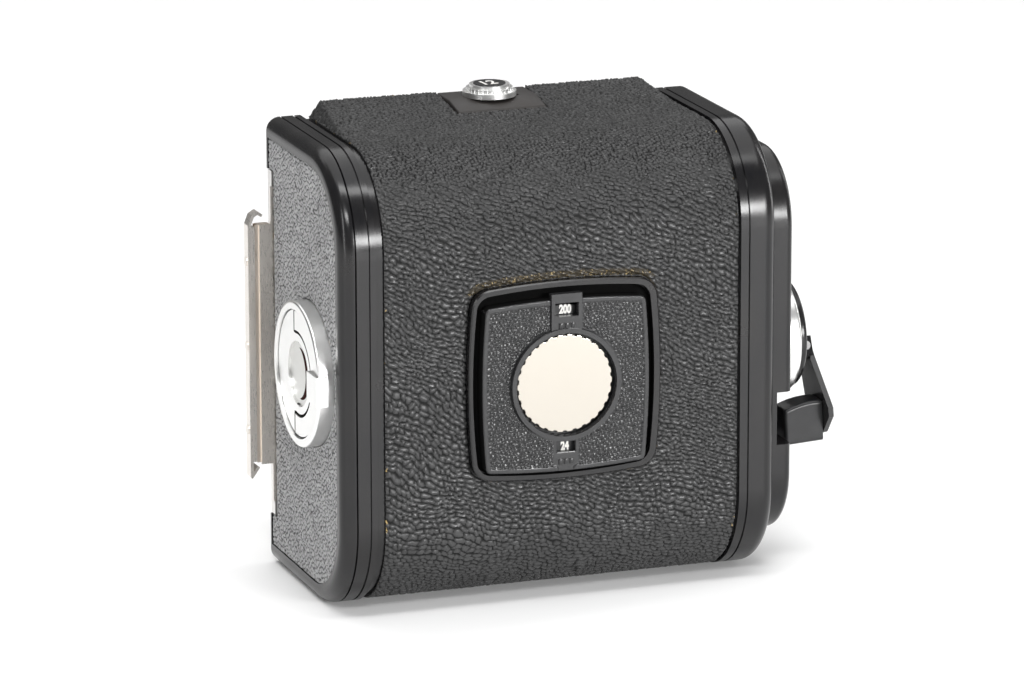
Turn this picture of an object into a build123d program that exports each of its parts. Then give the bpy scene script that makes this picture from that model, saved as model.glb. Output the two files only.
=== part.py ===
from build123d import *
import math
import os

# Removable roll-film magazine for a medium-format camera, 6 x 6 cm frames on 120 film.
# Origin: middle of the base. +X right when looked at from behind, +Y towards the camera,
# +Z up. Millimetres.

# ---- outer casing ----
HEIGHT = 90.0
REAR = -23.2
FRONT = 23.2
REAR_R = 18.5
SEAM = 41.2
COVER_T = 3.1
FACE = SEAM + COVER_T
RIGHT_FACE = SEAM + 3.4
EDGE_R = 2.7
WALL = 2.4
SKIN = 0.9
LEATHER_TOP = 0.15
BEAD_L = -37.3
BEAD_R = 36.9
LEATHER_L = -35.6
LEATHER_R = 36.4
MID_Z = HEIGHT / 2
FIT = 0.05
GAP = 0.2

# ---- film chamber and gear bay ----
CHAMBER_R = 34.4
BAY_L = 36.0
BAY_FRONT = 21.0

# ---- raised platform on top ----
PLATFORM_START = -4.2
PLATFORM_RISE = 2.85
PLATFORM_TOP_HALF = 33.0
PLATFORM_FOOT_HALF = 35.8
BUTTON_PLATE_Z = 92.3

# ---- film gate and dark slide ----
GATE = 56.0
GATE_BACK = 16.2
GATE_FRONT = 19.85
PLATE_BACK = 20.8
SLIDE_Y = 20.3
SLIDE_T = 0.5
SLIDE_LOW = 13.2
SLIDE_HIGH = 76.8
SLIDE_END = 31.8
CHANNEL_X = -47.7
HANDLE_X = -49.0
RIVET_Z = (28.0, 45.0, 62.0)
HOOK_X = 19.0
SCREW_Z = (6.0, 82.6)
CUT_LOW = 10.0
CUT_HIGH = 80.0
CUT_Y = 19.7

# ---- film insert ----
SPOOL_HALF = 32.75
FLANGE_R = 12.6
CORE_R = 5.75
SPOOL_BORE = 2.6
SPOOL_Y = -6.7
SUPPLY_Z = 16.5
TAKEUP_Z = 73.5
PLATE_L = -34.3
PLATE_R = 34.0
PLATE_IN = 33.1
ROLLER_Y = 12.2
ROLLER_Z = (9.5, 80.5)
ROLLER_R = 3.0
WEB_Y = 10.0
PRESS_Y = 15.9

# ---- film key ----
KEY_Y = -3.4
KEY_Z = 45.2
KEY_RING_R = 14.2
KEY_DISC_R = 12.4
KEY_TOP = -46.7
HANDLE_HINGE_Y = -2.3
HANDLE_HINGE_X = -46.1
HANDLE_POCKET_X = -45.0

# ---- film speed dial ----
DIAL_X = -0.1
DIAL_Z = 44.5
DIAL_R = 10.0
DIAL_PLATE_Z = 44.3
DIAL_PLATE_Y = -25.6
DIAL_RING_Y = -26.5
DIAL_CAP_Y = -25.3
NUMBER_Y = -24.2
BEZEL_Y = -24.5
SKIN_Y = REAR + SKIN

# ---- crank and gears ----
CRANK_Y = -5.4
CRANK_Z = 45.3
CRANK_R = 11.9
DISC_X = 52.5
HUB_X = 54.0
COVER_X = 49.4
COVER_REAR = -19.5
NOTCH_X = 46.2
NOTCH_LOW = 26.4
NOTCH_HIGH = 37.0
FOLD_X = 56.5
FOLD_TILT = 66.0
FOLD_SHIFT = 3.5
ARM_LIFT = 3.0
ARM_T = 1.2
KNOB_Y = -11.6
KNOB_Z = 28.75
GEAR_L = 37.2
GEAR_W = 2.4
MODULE = 0.8
CRANK_TEETH = 24
IDLER_TEETH = 16
TAKEUP_TEETH = 24
CAMERA_TEETH = 20
CAMERA_GEAR_Y = 14.2
CAMERA_GEAR_Z = 30.0
COVER_SCREWS = ((-11.6, 15.2), (-11.6, 75.2), (12.8, 12.8), (12.8, 77.6))
COUNTER_Y = 9.0
COUNTER_Z = 66.0
FLAG_Z = 51.0
WINDOWS = ((COUNTER_Z + 5.4, 3.0), (FLAG_Z + 4.0, 2.0))

# ---- release button ----
BUTTON_Y = 18.0
BUTTON_R = 5.3
BUTTON_TRAVEL = 3.5


def block(x0, x1, y0, y1, z0, z1):
    centre = Pos((x0 + x1) / 2, (y0 + y1) / 2, (z0 + z1) / 2)
    return centre * Box(x1 - x0, y1 - y0, z1 - z0)


def rod_x(x0, x1, y, z, r):
    return Pos((x0 + x1) / 2, y, z) * Rot(0, 90, 0) * Cylinder(r, x1 - x0)


def rod_y(y0, y1, x, z, r):
    return Pos(x, (y0 + y1) / 2, z) * Rot(90, 0, 0) * Cylinder(r, y1 - y0)


def rod_z(z0, z1, x, y, r):
    return Pos(x, y, (z0 + z1) / 2) * Cylinder(r, z1 - z0)


def side_outline(inset, front):
    """The casing's side view: square in front, round at the two rear corners."""
    low_y = REAR + inset
    face = Pos((low_y + front) / 2, MID_Z) * Rectangle(front - low_y, HEIGHT - 2 * inset)
    rear = face.vertices().sort_by(Axis.X)[:2]
    return fillet(rear, REAR_R - inset)


def slab(x0, x1, inset, front=FRONT):
    return extrude(Plane.YZ.offset(x0) * side_outline(inset, front), x1 - x0)


def rounded_panel(x0, x1, y0, y1, z0, z1, rear_r, front_r):
    face = Pos((y0 + y1) / 2, (z0 + z1) / 2) * Rectangle(y1 - y0, z1 - z0)
    order = face.vertices().sort_by(Axis.X)
    face = fillet(order[:2], rear_r)
    if front_r > 0:
        order = face.vertices().sort_by(Axis.X)
        face = fillet(order[-2:], front_r)
    return extrude(Plane.YZ.offset(x0) * face, x1 - x0)


def bowed_slab(half_mid, half_corner, radius, centre_x, centre_z, y_out, y_in):
    """A square with slightly bowed sides, facing the rear."""
    c = half_corner
    m = half_mid
    sides = [
        ThreePointArc((-c, -c), (0, -m), (c, -c)),
        ThreePointArc((c, -c), (m, 0), (c, c)),
        ThreePointArc((c, c), (0, m), (-c, c)),
        ThreePointArc((-c, c), (-m, 0), (-c, -c)),
    ]
    face = make_face(sides)
    face = fillet(face.vertices(), radius)
    placed = Plane.XZ.offset(-y_in) * (Pos(centre_x, centre_z) * face)
    return extrude(placed, y_in - y_out)


def edges_at_x(shape, x):
    return shape.edges().filter_by(lambda e: e.bounding_box().size.X < 0.001
                                   and abs(e.center().X - x) < 0.01)


def platform(rise_extra, foot_half, top_half, base):
    """The wedge on top: it rises towards the camera and its two ends are bevelled."""
    top = base + PLATFORM_RISE + rise_extra
    ends = Polyline((-foot_half, base), (foot_half, base), (top_half, top),
                    (-top_half, top), close=True)
    body = extrude(Plane.XZ.offset(-FRONT) * make_face(ends), FRONT - PLATFORM_START)
    slope = Polyline((PLATFORM_START, base), (FRONT, base), (FRONT, top), close=True)
    keep = extrude(Plane.YZ.offset(-foot_half) * make_face(slope), 2 * foot_half)
    return body & keep


def involute(angle):
    return math.tan(angle) - angle


def gear(teeth, y, z, phase, bore, x0=GEAR_L, width=GEAR_W):
    """Spur gear about an X axis; phase is the angle of one tooth from +Y towards +Z."""
    pressure = math.radians(20)
    pitch_r = MODULE * teeth / 2
    base_r = pitch_r * math.cos(pressure)
    tip_r = pitch_r + 0.9 * MODULE
    root_r = pitch_r - 1.2 * MODULE
    half_tooth = math.pi / (2 * teeth) + involute(pressure) - 0.05 / pitch_r
    low_r = max(base_r, root_r)
    radii = [low_r + (tip_r - low_r) * i / 4 for i in range(5)]
    flank = [(r, half_tooth - involute(math.acos(min(1.0, base_r / r)))) for r in radii]
    points = []
    for tooth in range(teeth):
        middle = math.radians(phase) + 2 * math.pi * tooth / teeth
        left = [(root_r, -flank[0][1])] + [(r, -a) for r, a in flank]
        right = [(r, a) for r, a in reversed(flank)] + [(root_r, flank[0][1])]
        for r, a in left + right:
            points.append((r * math.cos(middle + a), r * math.sin(middle + a)))
    face = make_face(Polyline(*points, close=True)) - Circle(bore)
    placed = Plane.YZ.offset(x0) * (Pos(y, z) * face)
    return extrude(placed, width)


def meshed_phase(driver_phase, driver_teeth, driven_teeth, direction):
    """Phase of a driven gear that meshes with its driver, seen along direction degrees."""
    offset = driver_phase - direction
    return direction + 180 + 180 / driven_teeth - offset * driver_teeth / driven_teeth


def reach(first, second, r_first, r_second, side):
    """The point at r_first from first and r_second from second, on one side of the line."""
    dy = second[0] - first[0]
    dz = second[1] - first[1]
    span = math.hypot(dy, dz)
    along = (r_first ** 2 - r_second ** 2 + span ** 2) / (2 * span)
    across = side * math.sqrt(r_first ** 2 - along ** 2)
    return (first[0] + (along * dy - across * dz) / span,
            first[1] + (along * dz + across * dy) / span)


def heading(first, second):
    return math.degrees(math.atan2(second[1] - first[1], second[0] - first[0]))


CRANK_AXIS = (CRANK_Y, CRANK_Z)
TAKEUP_AXIS = (SPOOL_Y, TAKEUP_Z)
CAMERA_AXIS = (CAMERA_GEAR_Y, CAMERA_GEAR_Z)
IDLER_REACH = MODULE * (CRANK_TEETH + IDLER_TEETH) / 2
CAMERA_REACH = MODULE * (CAMERA_TEETH + IDLER_TEETH) / 2
UPPER_AXIS = reach(CRANK_AXIS, TAKEUP_AXIS, IDLER_REACH, IDLER_REACH, -1)
LOWER_AXIS = reach(CRANK_AXIS, CAMERA_AXIS, IDLER_REACH, CAMERA_REACH, 1)


def scalloped(x_or_y, disc, centre, radius, notch_r, count, start, end):
    """A disc with a ring of small notches round its rim, about X or Y."""
    for i in range(count):
        angle = 2 * math.pi * i / count
        a = centre[0] + radius * math.cos(angle)
        b = centre[1] + radius * math.sin(angle)
        cut = rod_x(start, end, a, b, notch_r) if x_or_y == "x" else rod_y(start, end, a, b, notch_r)
        disc = disc - cut
    return disc


# ---------------------------------------------------------------- casing

def main_shell():
    body = slab(-SEAM, SEAM, 0)
    body = body - (slab(BEAD_L, BEAD_R, 0) - slab(BEAD_L, BEAD_R, SKIN))
    for x in (-38.9, 38.4):
        body = body - (slab(x, x + 0.4, 0) - slab(x, x + 0.4, 0.35))
    body = body + platform(0, PLATFORM_FOOT_HALF - 0.6, PLATFORM_TOP_HALF - 0.4, HEIGHT - SKIN)
    body = body - slab(-SEAM - 1, CHAMBER_R, WALL, FRONT + 1)
    body = body - slab(BAY_L, SEAM + 1, WALL, BAY_FRONT)
    slot = block(-2.0, 2.0 + BUTTON_TRAVEL, BUTTON_Y - 2.0, BUTTON_Y + 2.0, 80, 96)
    body = body - slot
    body = body - block(-9.3, 9.3, 10.0, FRONT + 1, 91.2, 96)
    gear_slot = MODULE * CAMERA_TEETH / 2 + 1.4
    body = body - block(GEAR_L - 0.4, GEAR_L + GEAR_W + 0.4, 19, FRONT + 1,
                        CAMERA_GEAR_Z - gear_slot, CAMERA_GEAR_Z + gear_slot)
    body = body - rod_x(33, 38, CRANK_Y, CRANK_Z, 2.5 + FIT)
    body = body - rod_x(33, 38, SPOOL_Y, TAKEUP_Z, 3.5 + FIT)
    for axis in (UPPER_AXIS, LOWER_AXIS, CAMERA_AXIS):
        body = body - rod_x(34.6, 38, axis[0], axis[1], 1.5)
    return body + block(24.0, 25.2, 13.6, 16.6, 85.1, HEIGHT - WALL + 0.2)


def shell_leather():
    skin = slab(LEATHER_L, LEATHER_R, LEATHER_TOP) - slab(LEATHER_L, LEATHER_R, SKIN)
    cap = platform(0.75, PLATFORM_FOOT_HALF + 0.2, PLATFORM_TOP_HALF + 0.2, HEIGHT - SKIN)
    cap = cap + block(-PLATFORM_FOOT_HALF + 0.6, PLATFORM_FOOT_HALF - 0.6, PLATFORM_START, FRONT,
                      HEIGHT - SKIN, HEIGHT - LEATHER_TOP)
    skin = skin + cap
    skin = skin - platform(0, PLATFORM_FOOT_HALF - 0.6, PLATFORM_TOP_HALF - 0.4, HEIGHT - SKIN)
    skin = skin - bowed_slab(19.75, 18.65, 4.0, 0.3, MID_Z, -26, -20)
    return skin - block(-9.3, 9.3, 10.0, FRONT + 1, 88, 96)


def button_plate():
    plate = block(-9.1, 9.1, 10.2, FRONT, 91.2, BUTTON_PLATE_Z)
    upper = plate.edges().group_by(Axis.Z)[-1]
    plate = chamfer(upper, 0.35)
    return plate - block(-2.0, 2.0 + BUTTON_TRAVEL, BUTTON_Y - 2.0, BUTTON_Y + 2.0, 90, 94)


def front_plate():
    plate = block(-SEAM, CHAMBER_R - 0.1, PLATE_BACK, FRONT, WALL + 0.2, HEIGHT - WALL - 0.2)
    plate = plate + block(-FACE + 0.2, -SEAM, PLATE_BACK, FRONT, CUT_LOW + 0.2, CUT_HIGH - 0.2)
    half = GATE / 2
    plate = plate - block(-half, half, 20, 25, MID_Z - half, MID_Z + half)
    for side in (-1, 1):
        plate = plate - hook_slot(side, PLATE_BACK - 1)
        for z in SCREW_Z:
            plate = plate - rod_y(20, 25, side * 31.0, z, 1.0)
            plate = plate - rod_y(FRONT - 0.7, 25, side * 31.0, z, 1.9)
    return plate - block(-3.3, 3.3 + BUTTON_TRAVEL, 20, 25, 81.5, 85.6)


def hook_slot(side, back):
    x = side * HOOK_X
    return block(x - 5, x + 5, back, FRONT + 1, 4.6, 9.4)


def front_plate_screws():
    screws = []
    for side in (-1, 1):
        for z in SCREW_Z:
            x = side * 31.0
            screw = rod_y(GATE_FRONT, FRONT - 0.7, x, z, 1.0) + rod_y(FRONT - 0.7, FRONT, x, z, 1.9)
            screws.append(screw - block(x - 1.5, x + 1.5, FRONT - 0.4, 25, z - 0.2, z + 0.2))
    return Compound(screws)


def film_gate():
    gate = block(-38.0, CHAMBER_R - 0.2, GATE_BACK, GATE_FRONT, WALL + 0.3, 84.4)
    half = GATE / 2
    gate = gate - block(-half, half, 15, 22, MID_Z - half, MID_Z + half)
    gate = gate - block(-40, -36.0, GATE_FRONT - 1.0, 22, SLIDE_LOW, SLIDE_HIGH)
    for side in (-1, 1):
        gate = gate - hook_slot(side, GATE_FRONT - 3)
    edge = CHAMBER_R - 0.2
    gate = gate + block(-38.0, edge, GATE_FRONT - 0.1, PLATE_BACK, SLIDE_HIGH + GAP, 81.0)
    gate = gate + block(-38.0, edge, GATE_FRONT - 0.1, PLATE_BACK, 9.6, SLIDE_LOW - GAP)
    return gate + block(SLIDE_END + 0.4, edge, GATE_FRONT - 0.1, PLATE_BACK, 9.6, 81.0)


def slide_seal():
    return block(-38.0, -36.0, GATE_FRONT - 1.0, GATE_FRONT - 0.05, SLIDE_LOW, SLIDE_HIGH)


def right_plate():
    plate = slab(SEAM, RIGHT_FACE, 0)
    outer = edges_at_x(plate, RIGHT_FACE).filter_by(lambda e: e.center().Y < FRONT - 0.1)
    plate = fillet(outer, EDGE_R)
    return plate - rounded_panel(SEAM - 1, RIGHT_FACE + 1, -16.2, 17.2, 8.5, 81.5, 11.0, 2.0)


def bridge_plate():
    plate = rounded_panel(41.5, 42.5, -16.0, 17.0, 8.7, 81.3, 10.8, 1.8)
    plate = plate - rod_x(40, 44, CRANK_Y, CRANK_Z, 2.5 + FIT)
    plate = plate + rod_x(42.0, 46.9, COUNTER_Y, COUNTER_Z, 1.2)
    return plate + rod_x(42.0, 46.6, COUNTER_Y, FLAG_Z, 1.0)


def gear_cover():
    cover = rounded_panel(RIGHT_FACE, COVER_X, COVER_REAR, 19.2, 6.4, 83.9, 14.0, 4.0)
    cover = fillet(edges_at_x(cover, COVER_X), 1.4)
    hollow = rounded_panel(RIGHT_FACE - 1, COVER_X - 1.4, COVER_REAR + 1.6, 17.6, 8.0, 82.3, 12.4, 2.4)
    hollow = hollow - block(RIGHT_FACE - 2, COVER_X, -21, -5.4, NOTCH_LOW - 1.8, NOTCH_HIGH + 1.8)
    cover = cover - hollow
    cover = cover - block(NOTCH_X, COVER_X + 1, COVER_REAR - 1, -7.0, NOTCH_LOW, NOTCH_HIGH)
    cover = cover - gear_cover_panel(0.0)
    for y, z in COVER_SCREWS:
        cover = cover - rod_x(COVER_X - 0.6, COVER_X + 1, y, z, 1.5)
    cover = cover - rod_x(RIGHT_FACE - 1, COVER_X + 1, CRANK_Y, CRANK_Z, 2.5 + FIT)
    for z, r in WINDOWS:
        cover = cover - rod_x(RIGHT_FACE, COVER_X + 1, COUNTER_Y, z, r)
    return cover


def gear_cover_panel(shrink):
    panel = rounded_panel(COVER_X - 0.6, COVER_X + 0.15, COVER_REAR + 2.6 + shrink, 16.6 - shrink,
                          9.0 + shrink, 81.3 - shrink, 11.4, 2.0)
    panel = panel - rod_x(40, 51, CRANK_Y, CRANK_Z, CRANK_R + 0.8 + shrink)
    panel = panel - block(40, 51, -21, -5.8 + shrink, NOTCH_LOW - 1.2 - shrink, NOTCH_HIGH + 1.2 + shrink)
    for y, z in COVER_SCREWS:
        panel = panel - rod_x(40, 51, y, z, 1.5 + shrink)
    for z, r in WINDOWS:
        panel = panel - rod_x(40, 51, COUNTER_Y, z, r + 1.1 + shrink)
    return panel


def cover_screws():
    screws = []
    for y, z in COVER_SCREWS:
        screw = rod_x(COVER_X - 0.6, COVER_X + 0.2, y, z, 1.5)
        screws.append(screw - block(COVER_X, COVER_X + 1, y - 2, y + 2, z - 0.2, z + 0.2))
    return Compound(screws)


def counter_windows():
    return Compound([rod_x(COVER_X - 1.4, COVER_X - 0.2, COUNTER_Y, z, r) for z, r in WINDOWS])


# ---------------------------------------------------------------- dark slide

def strip_xz(points, thickness, y0, y1):
    """Sheet metal bent along a route in the XZ plane."""
    shape = None
    for (xa, za), (xb, zb) in zip(points, points[1:]):
        length = math.hypot(xb - xa, zb - za)
        tilt = math.degrees(math.atan2(xb - xa, zb - za))
        run = Pos((xa + xb) / 2, (y0 + y1) / 2, (za + zb) / 2) * Rot(0, tilt, 0)
        run = run * Box(thickness, y1 - y0, length)
        shape = run if shape is None else shape + run
    for x, z in points[1:-1]:
        shape = shape + rod_y(y0, y1, x, z, thickness / 2)
    return shape


def slide_blade():
    low = SLIDE_Y - SLIDE_T / 2
    high = SLIDE_Y + SLIDE_T / 2
    blade = block(-46.9, SLIDE_END, low, high, SLIDE_LOW, SLIDE_HIGH)
    blade = blade - block(-48, -44.6, 19, 23, 10, 21.0)
    return blade - block(-48, -44.6, 19, 23, 69.3, 80)


def slide_channel():
    channel = block(CHANNEL_X, -44.6, SLIDE_Y + SLIDE_T / 2, 22.6, 21.3, 69.3)
    channel = channel - block(CHANNEL_X - 1, CHANNEL_X + 0.5, 20.8, 21.8, 20, 70)
    corner = channel.edges().filter_by(Axis.Z).filter_by(lambda e: e.center().Y > 22.5)
    return fillet(corner, 0.6)


def slide_handle():
    route = [(-46.4, 71.2), (-47.3, 71.8), (-48.3, 71.2), (HANDLE_X, 69.4), (HANDLE_X, 18.6), (-47.6, 20.6)]
    plate = strip_xz(route, 0.6, 19.9, 22.4)
    plate = plate + block(HANDLE_X, CHANNEL_X - 0.15, 20.1, 22.3, 21.6, 69.0)
    for z in RIVET_Z:
        plate = plate - rod_x(HANDLE_X - 1, HANDLE_X + 2, 21.3, z, 0.5)
    return plate


def slide_rivets():
    face = HANDLE_X - 0.3
    return Compound([rod_x(face - 0.2, face, 21.3, z, 0.9) + rod_x(face, CHANNEL_X + 0.5, 21.3, z, 0.5)
                     for z in RIVET_Z])


# ---------------------------------------------------------------- release

def release_button():
    z = BUTTON_PLATE_Z + 0.05
    body = rod_z(z, z + 1.0, 0, BUTTON_Y, BUTTON_R)
    body = body + rod_z(z + 1.0, z + 1.7, 0, BUTTON_Y, 4.6)
    body = body + rod_z(z + 1.7, z + 2.3, 0, BUTTON_Y, 4.0)
    body = body - rod_z(z + 2.1, z + 3, 0, BUTTON_Y, 3.2)
    body = scalloped_button(body, z)
    return body + rod_z(86.9, z, 0, BUTTON_Y, 1.7)


def scalloped_button(body, z):
    for i in range(32):
        angle = 2 * math.pi * i / 32
        x = 4.68 * math.cos(angle)
        y = BUTTON_Y + 4.68 * math.sin(angle)
        body = body - rod_z(z + 1.0, z + 1.7, x, y, 0.2)
    return body


def button_label():
    z = BUTTON_PLATE_Z + 0.05
    return rod_z(z + 2.1, z + 2.45, 0, BUTTON_Y, 3.2)


def catch_bar():
    bar = block(-16.0, 12.5, 13.6, 16.6, 85.0, 86.9)
    bar = bar + block(-2.6, 2.6, 16.6, 20.6, 85.4, 86.9)
    return bar + block(-2.6, 2.6, 20.0, 22.9, 82.0, 85.4)


def catch_spring():
    rings = []
    for i in range(7):
        x = 16.9 + 1.0 * i
        rings.append(Pos(x, 15.1, 85.9) * Rot(0, 90, 0) * Torus(0.95, 0.2))
    return Compound(rings)


# ---------------------------------------------------------------- film insert

def left_cover():
    cover = slab(-FACE, -SEAM - FIT, 0)
    inner = edges_at_x(cover, -SEAM - FIT).filter_by(lambda e: e.center().Y < FRONT - 0.1)
    cover = chamfer(inner, 0.3)
    outer = edges_at_x(cover, -FACE).filter_by(lambda e: e.center().Y < FRONT - 0.1)
    cover = fillet(outer, EDGE_R)
    cover = cover - rounded_panel(-FACE - 1, -FACE + 0.8, -19.5, 22.5, 3.75, 86.25, 14.75, 0)
    ring = slab(-SEAM - FIT, -38.2, WALL + GAP, 15.8) - slab(-42, -38, WALL + 1.8, 17)
    cover = cover + ring
    cover = cover - block(-FACE - 1, -38, CUT_Y, FRONT + 1, CUT_LOW, CUT_HIGH)
    cover = cover - block(-SEAM, -38, -6.3, -0.5, 80, 90)
    cover = cover - block(-SEAM, -38, -6.3, -0.5, 0, 10)
    for z in (28.0, 58.0):
        cover = cover + block(-SEAM - 0.1, -39.9, -7.4, -6.1, z, z + 4)
        cover = cover + block(-SEAM - 0.1, -39.9, -0.7, 0.6, z, z + 4)
    return cover - rod_x(-46, -38, KEY_Y, KEY_Z, 3.0 + FIT)


def left_cover_leather():
    skin = rounded_panel(-FACE + 0.15, -FACE + 0.8, -19.4, 22.4, 3.85, 86.15, 14.65, 0)
    skin = skin - block(-46, -38, CUT_Y - 0.1, FRONT + 1, CUT_LOW - 0.1, CUT_HIGH + 0.1)
    return skin - rod_x(-46, -38, KEY_Y, KEY_Z, KEY_RING_R + 0.15)


def insert_frame():
    frame = rounded_panel(PLATE_L, -PLATE_IN, -19.0, 15.8, 5.2, 84.6, 12.0, 2.0)
    frame = frame + rounded_panel(PLATE_IN, PLATE_R, -19.0, 15.8, 5.2, 84.6, 12.0, 2.0)
    frame = frame + block(-PLATE_IN, PLATE_IN, WEB_Y - 1.2, WEB_Y, 24.0, 66.0)
    frame = frame - rod_x(-35, -33, SPOOL_Y, TAKEUP_Z, 2.2 + FIT)
    frame = frame - rod_x(-35, -33, SPOOL_Y, SUPPLY_Z, 2.2 + FIT)
    frame = frame - rod_x(33, 35, SPOOL_Y, TAKEUP_Z, 4.2)
    frame = frame + rod_x(30.9, PLATE_R, SPOOL_Y, SUPPLY_Z, 2.2)
    for z in ROLLER_Z:
        frame = frame - rod_x(-36, 36, ROLLER_Y, z, 1.0 + FIT)
    for x in (-20, 20):
        for z in (33, 57):
            frame = frame - rod_y(8, 11, x, z, 1.2 + FIT)
    return frame


def insert_posts():
    return Compound([rod_x(-SEAM - FIT, PLATE_L, y, z, 2.2)
                     for y, z in ((8.0, 22.0), (8.0, 68.0), (-14.5, 45.0))])


def insert_screws():
    screws = []
    for y, z in ((8.0, 22.0), (8.0, 68.0), (-14.5, 45.0)):
        head = rod_x(-PLATE_IN, -PLATE_IN + 0.9, y, z, 1.8)
        screws.append(head - block(-33.2, -32.0, y - 2, y + 2, z - 0.2, z + 0.2)
                      + rod_x(-PLATE_IN, -PLATE_IN + 0.4, y, z, 1.8))
    return Compound(screws)


def supply_pin():
    head = rod_x(-37.4, -34.4, SPOOL_Y, SUPPLY_Z, 4.2)
    head = scalloped("x", head, (SPOOL_Y, SUPPLY_Z), 4.3, 0.3, 18, -38, -34)
    return head + rod_x(-34.4, -30.9, SPOOL_Y, SUPPLY_Z, 2.2)


def spool(z):
    body = rod_x(-SPOOL_HALF, SPOOL_HALF, SPOOL_Y, z, CORE_R)
    for side in (-1, 1):
        outer = side * SPOOL_HALF
        inner = outer - side * 1.2
        body = body + rod_x(min(outer, inner), max(outer, inner), SPOOL_Y, z, FLANGE_R)
    body = body - rod_x(-40, 40, SPOOL_Y, z, SPOOL_BORE)
    for side in (-1, 1):
        x = side * (SPOOL_HALF - 1.0)
        body = body - block(x - 1.1, x + 1.1, SPOOL_Y - 3.9, SPOOL_Y + 3.9, z - 0.75, z + 0.75)
    slit = block(-31, 31, SPOOL_Y - 7, SPOOL_Y + 7, z - 0.5, z + 0.5)
    return body - slit


def takeup_knob():
    head = rod_x(-39.4, -34.6, SPOOL_Y, TAKEUP_Z, 6.8)
    head = scalloped("x", head, (SPOOL_Y, TAKEUP_Z), 6.95, 0.45, 24, -40, -34)
    shaft = rod_x(-34.6, -30.9, SPOOL_Y, TAKEUP_Z, 2.2)
    fin = block(-32.5, -31.2, SPOOL_Y - 3.4, SPOOL_Y + 3.4, TAKEUP_Z - 0.5, TAKEUP_Z + 0.5)
    return head + shaft + fin


def roller(z):
    body = rod_x(-32.8, 32.8, ROLLER_Y, z, ROLLER_R)
    return body + rod_x(PLATE_L, PLATE_R, ROLLER_Y, z, 1.0)


def pressure_plate():
    plate = block(-30.5, 30.5, PRESS_Y - 1.45, PRESS_Y, 14.2, 75.8)
    for x in (-25.5, 0, 25.5):
        plate = plate - block(x - 2, x + 2, PRESS_Y - 2, PRESS_Y - 1.0, 20, 70)
    for x in (-20, 20):
        for z in (33, 57):
            plate = plate + rod_y(7.0, PRESS_Y - 0.6, x, z, 1.2)
    return plate


def pressure_springs():
    leaves = []
    for x in (-12, 6):
        outer = ThreePointArc((WEB_Y, 31), (12.9, 45), (WEB_Y, 59))
        inner = ThreePointArc((WEB_Y, 33.0), (12.5, 45), (WEB_Y, 57.0))
        rim = [outer, inner, Line((WEB_Y, 31), (WEB_Y, 33.0)), Line((WEB_Y, 59), (WEB_Y, 57.0))]
        leaves.append(extrude(Plane.YZ.offset(x) * make_face(rim), 6))
    return Compound(leaves)


def lock_bolt(low, high):
    return block(-40.95, -39.75, -5.9, -0.9, low, high)


# ---------------------------------------------------------------- film key

def key_ring():
    ring = rod_x(-47.2, -43.5, KEY_Y, KEY_Z, KEY_RING_R)
    ring = ring - rod_x(-48, -43, KEY_Y, KEY_Z, KEY_DISC_R + GAP)
    outer = edges_at_x(ring, -47.2).sort_by(SortBy.RADIUS)[-1]
    return fillet(outer, 0.5)


def handle_pocket(inner_r, outer_r, hinge_y):
    floor = HANDLE_POCKET_X
    ring = rod_x(-48, floor, KEY_Y, KEY_Z, outer_r) - rod_x(-49, -44, KEY_Y, KEY_Z, inner_r)
    return ring & block(-48, floor, -20, hinge_y, 30, 60)


def key_disc():
    disc = rod_x(KEY_TOP, -43.6, KEY_Y, KEY_Z, KEY_DISC_R)
    disc = disc - handle_pocket(8.3, 13.0, HANDLE_HINGE_Y + 1.0)
    disc = disc - rod_x(-47, KEY_TOP + 0.5, KEY_Y, KEY_Z, 6.4)
    disc = disc - key_window(0.0)
    disc = disc - rod_z(51.0, 60.0, HANDLE_HINGE_X, HANDLE_HINGE_Y, 0.5)
    return disc - rod_z(30.0, 39.0, HANDLE_HINGE_X, HANDLE_HINGE_Y, 0.5)


def key_window(rise):
    x0 = KEY_TOP + 0.5 - rise
    x1 = KEY_TOP + 1.1
    moon = rod_x(x0, x1, KEY_Y, KEY_Z, 5.1) - rod_x(x0 - 1, x1 + 1, KEY_Y + 2.0, KEY_Z, 5.3)
    return moon


def key_handle():
    ring = rod_x(-46.8, -45.4, KEY_Y, KEY_Z, 12.2) - rod_x(-48, -45, KEY_Y, KEY_Z, 8.5)
    handle = ring & block(-48, -45, -20, HANDLE_HINGE_Y + 0.7, 30, 60)
    tab_low = KEY_Z - 2.9
    tab_high = KEY_Z + 2.9
    handle = handle + block(-47.9, -46.8, -15.4, -12.4, tab_low, tab_high)
    handle = handle + block(-47.9, -47.3, -18.6, -15.0, tab_low, tab_high)
    handle = handle + block(-47.9, -45.6, -18.6, -18.0, tab_low, tab_high)
    return handle - rod_z(20.0, 70.0, HANDLE_HINGE_X, HANDLE_HINGE_Y, 0.5 + FIT)


def handle_pins():
    return Compound([rod_z(53.0 - 0.6, 57.6, HANDLE_HINGE_X, HANDLE_HINGE_Y, 0.5),
                     rod_z(32.8, 38.0, HANDLE_HINGE_X, HANDLE_HINGE_Y, 0.5)])


def key_shaft():
    shaft = rod_x(-43.6, -38.6, KEY_Y, KEY_Z, 3.0)
    return shaft + block(-41.0, -38.6, KEY_Y - 5.0, KEY_Y + 5.0, KEY_Z - 2.0, KEY_Z + 2.0)


# ---------------------------------------------------------------- film speed dial

def dial_frame():
    frame = bowed_slab(19.6, 18.5, 4.0, 0.3, MID_Z, BEZEL_Y, SKIN_Y)
    outer = frame.faces().sort_by(Axis.Y)[0].outer_wire().edges()
    frame = chamfer(outer, 0.25)
    return frame - bowed_slab(18.5, 17.4, 3.0, 0.0, MID_Z, BEZEL_Y - 1, SKIN_Y - 0.5)


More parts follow.
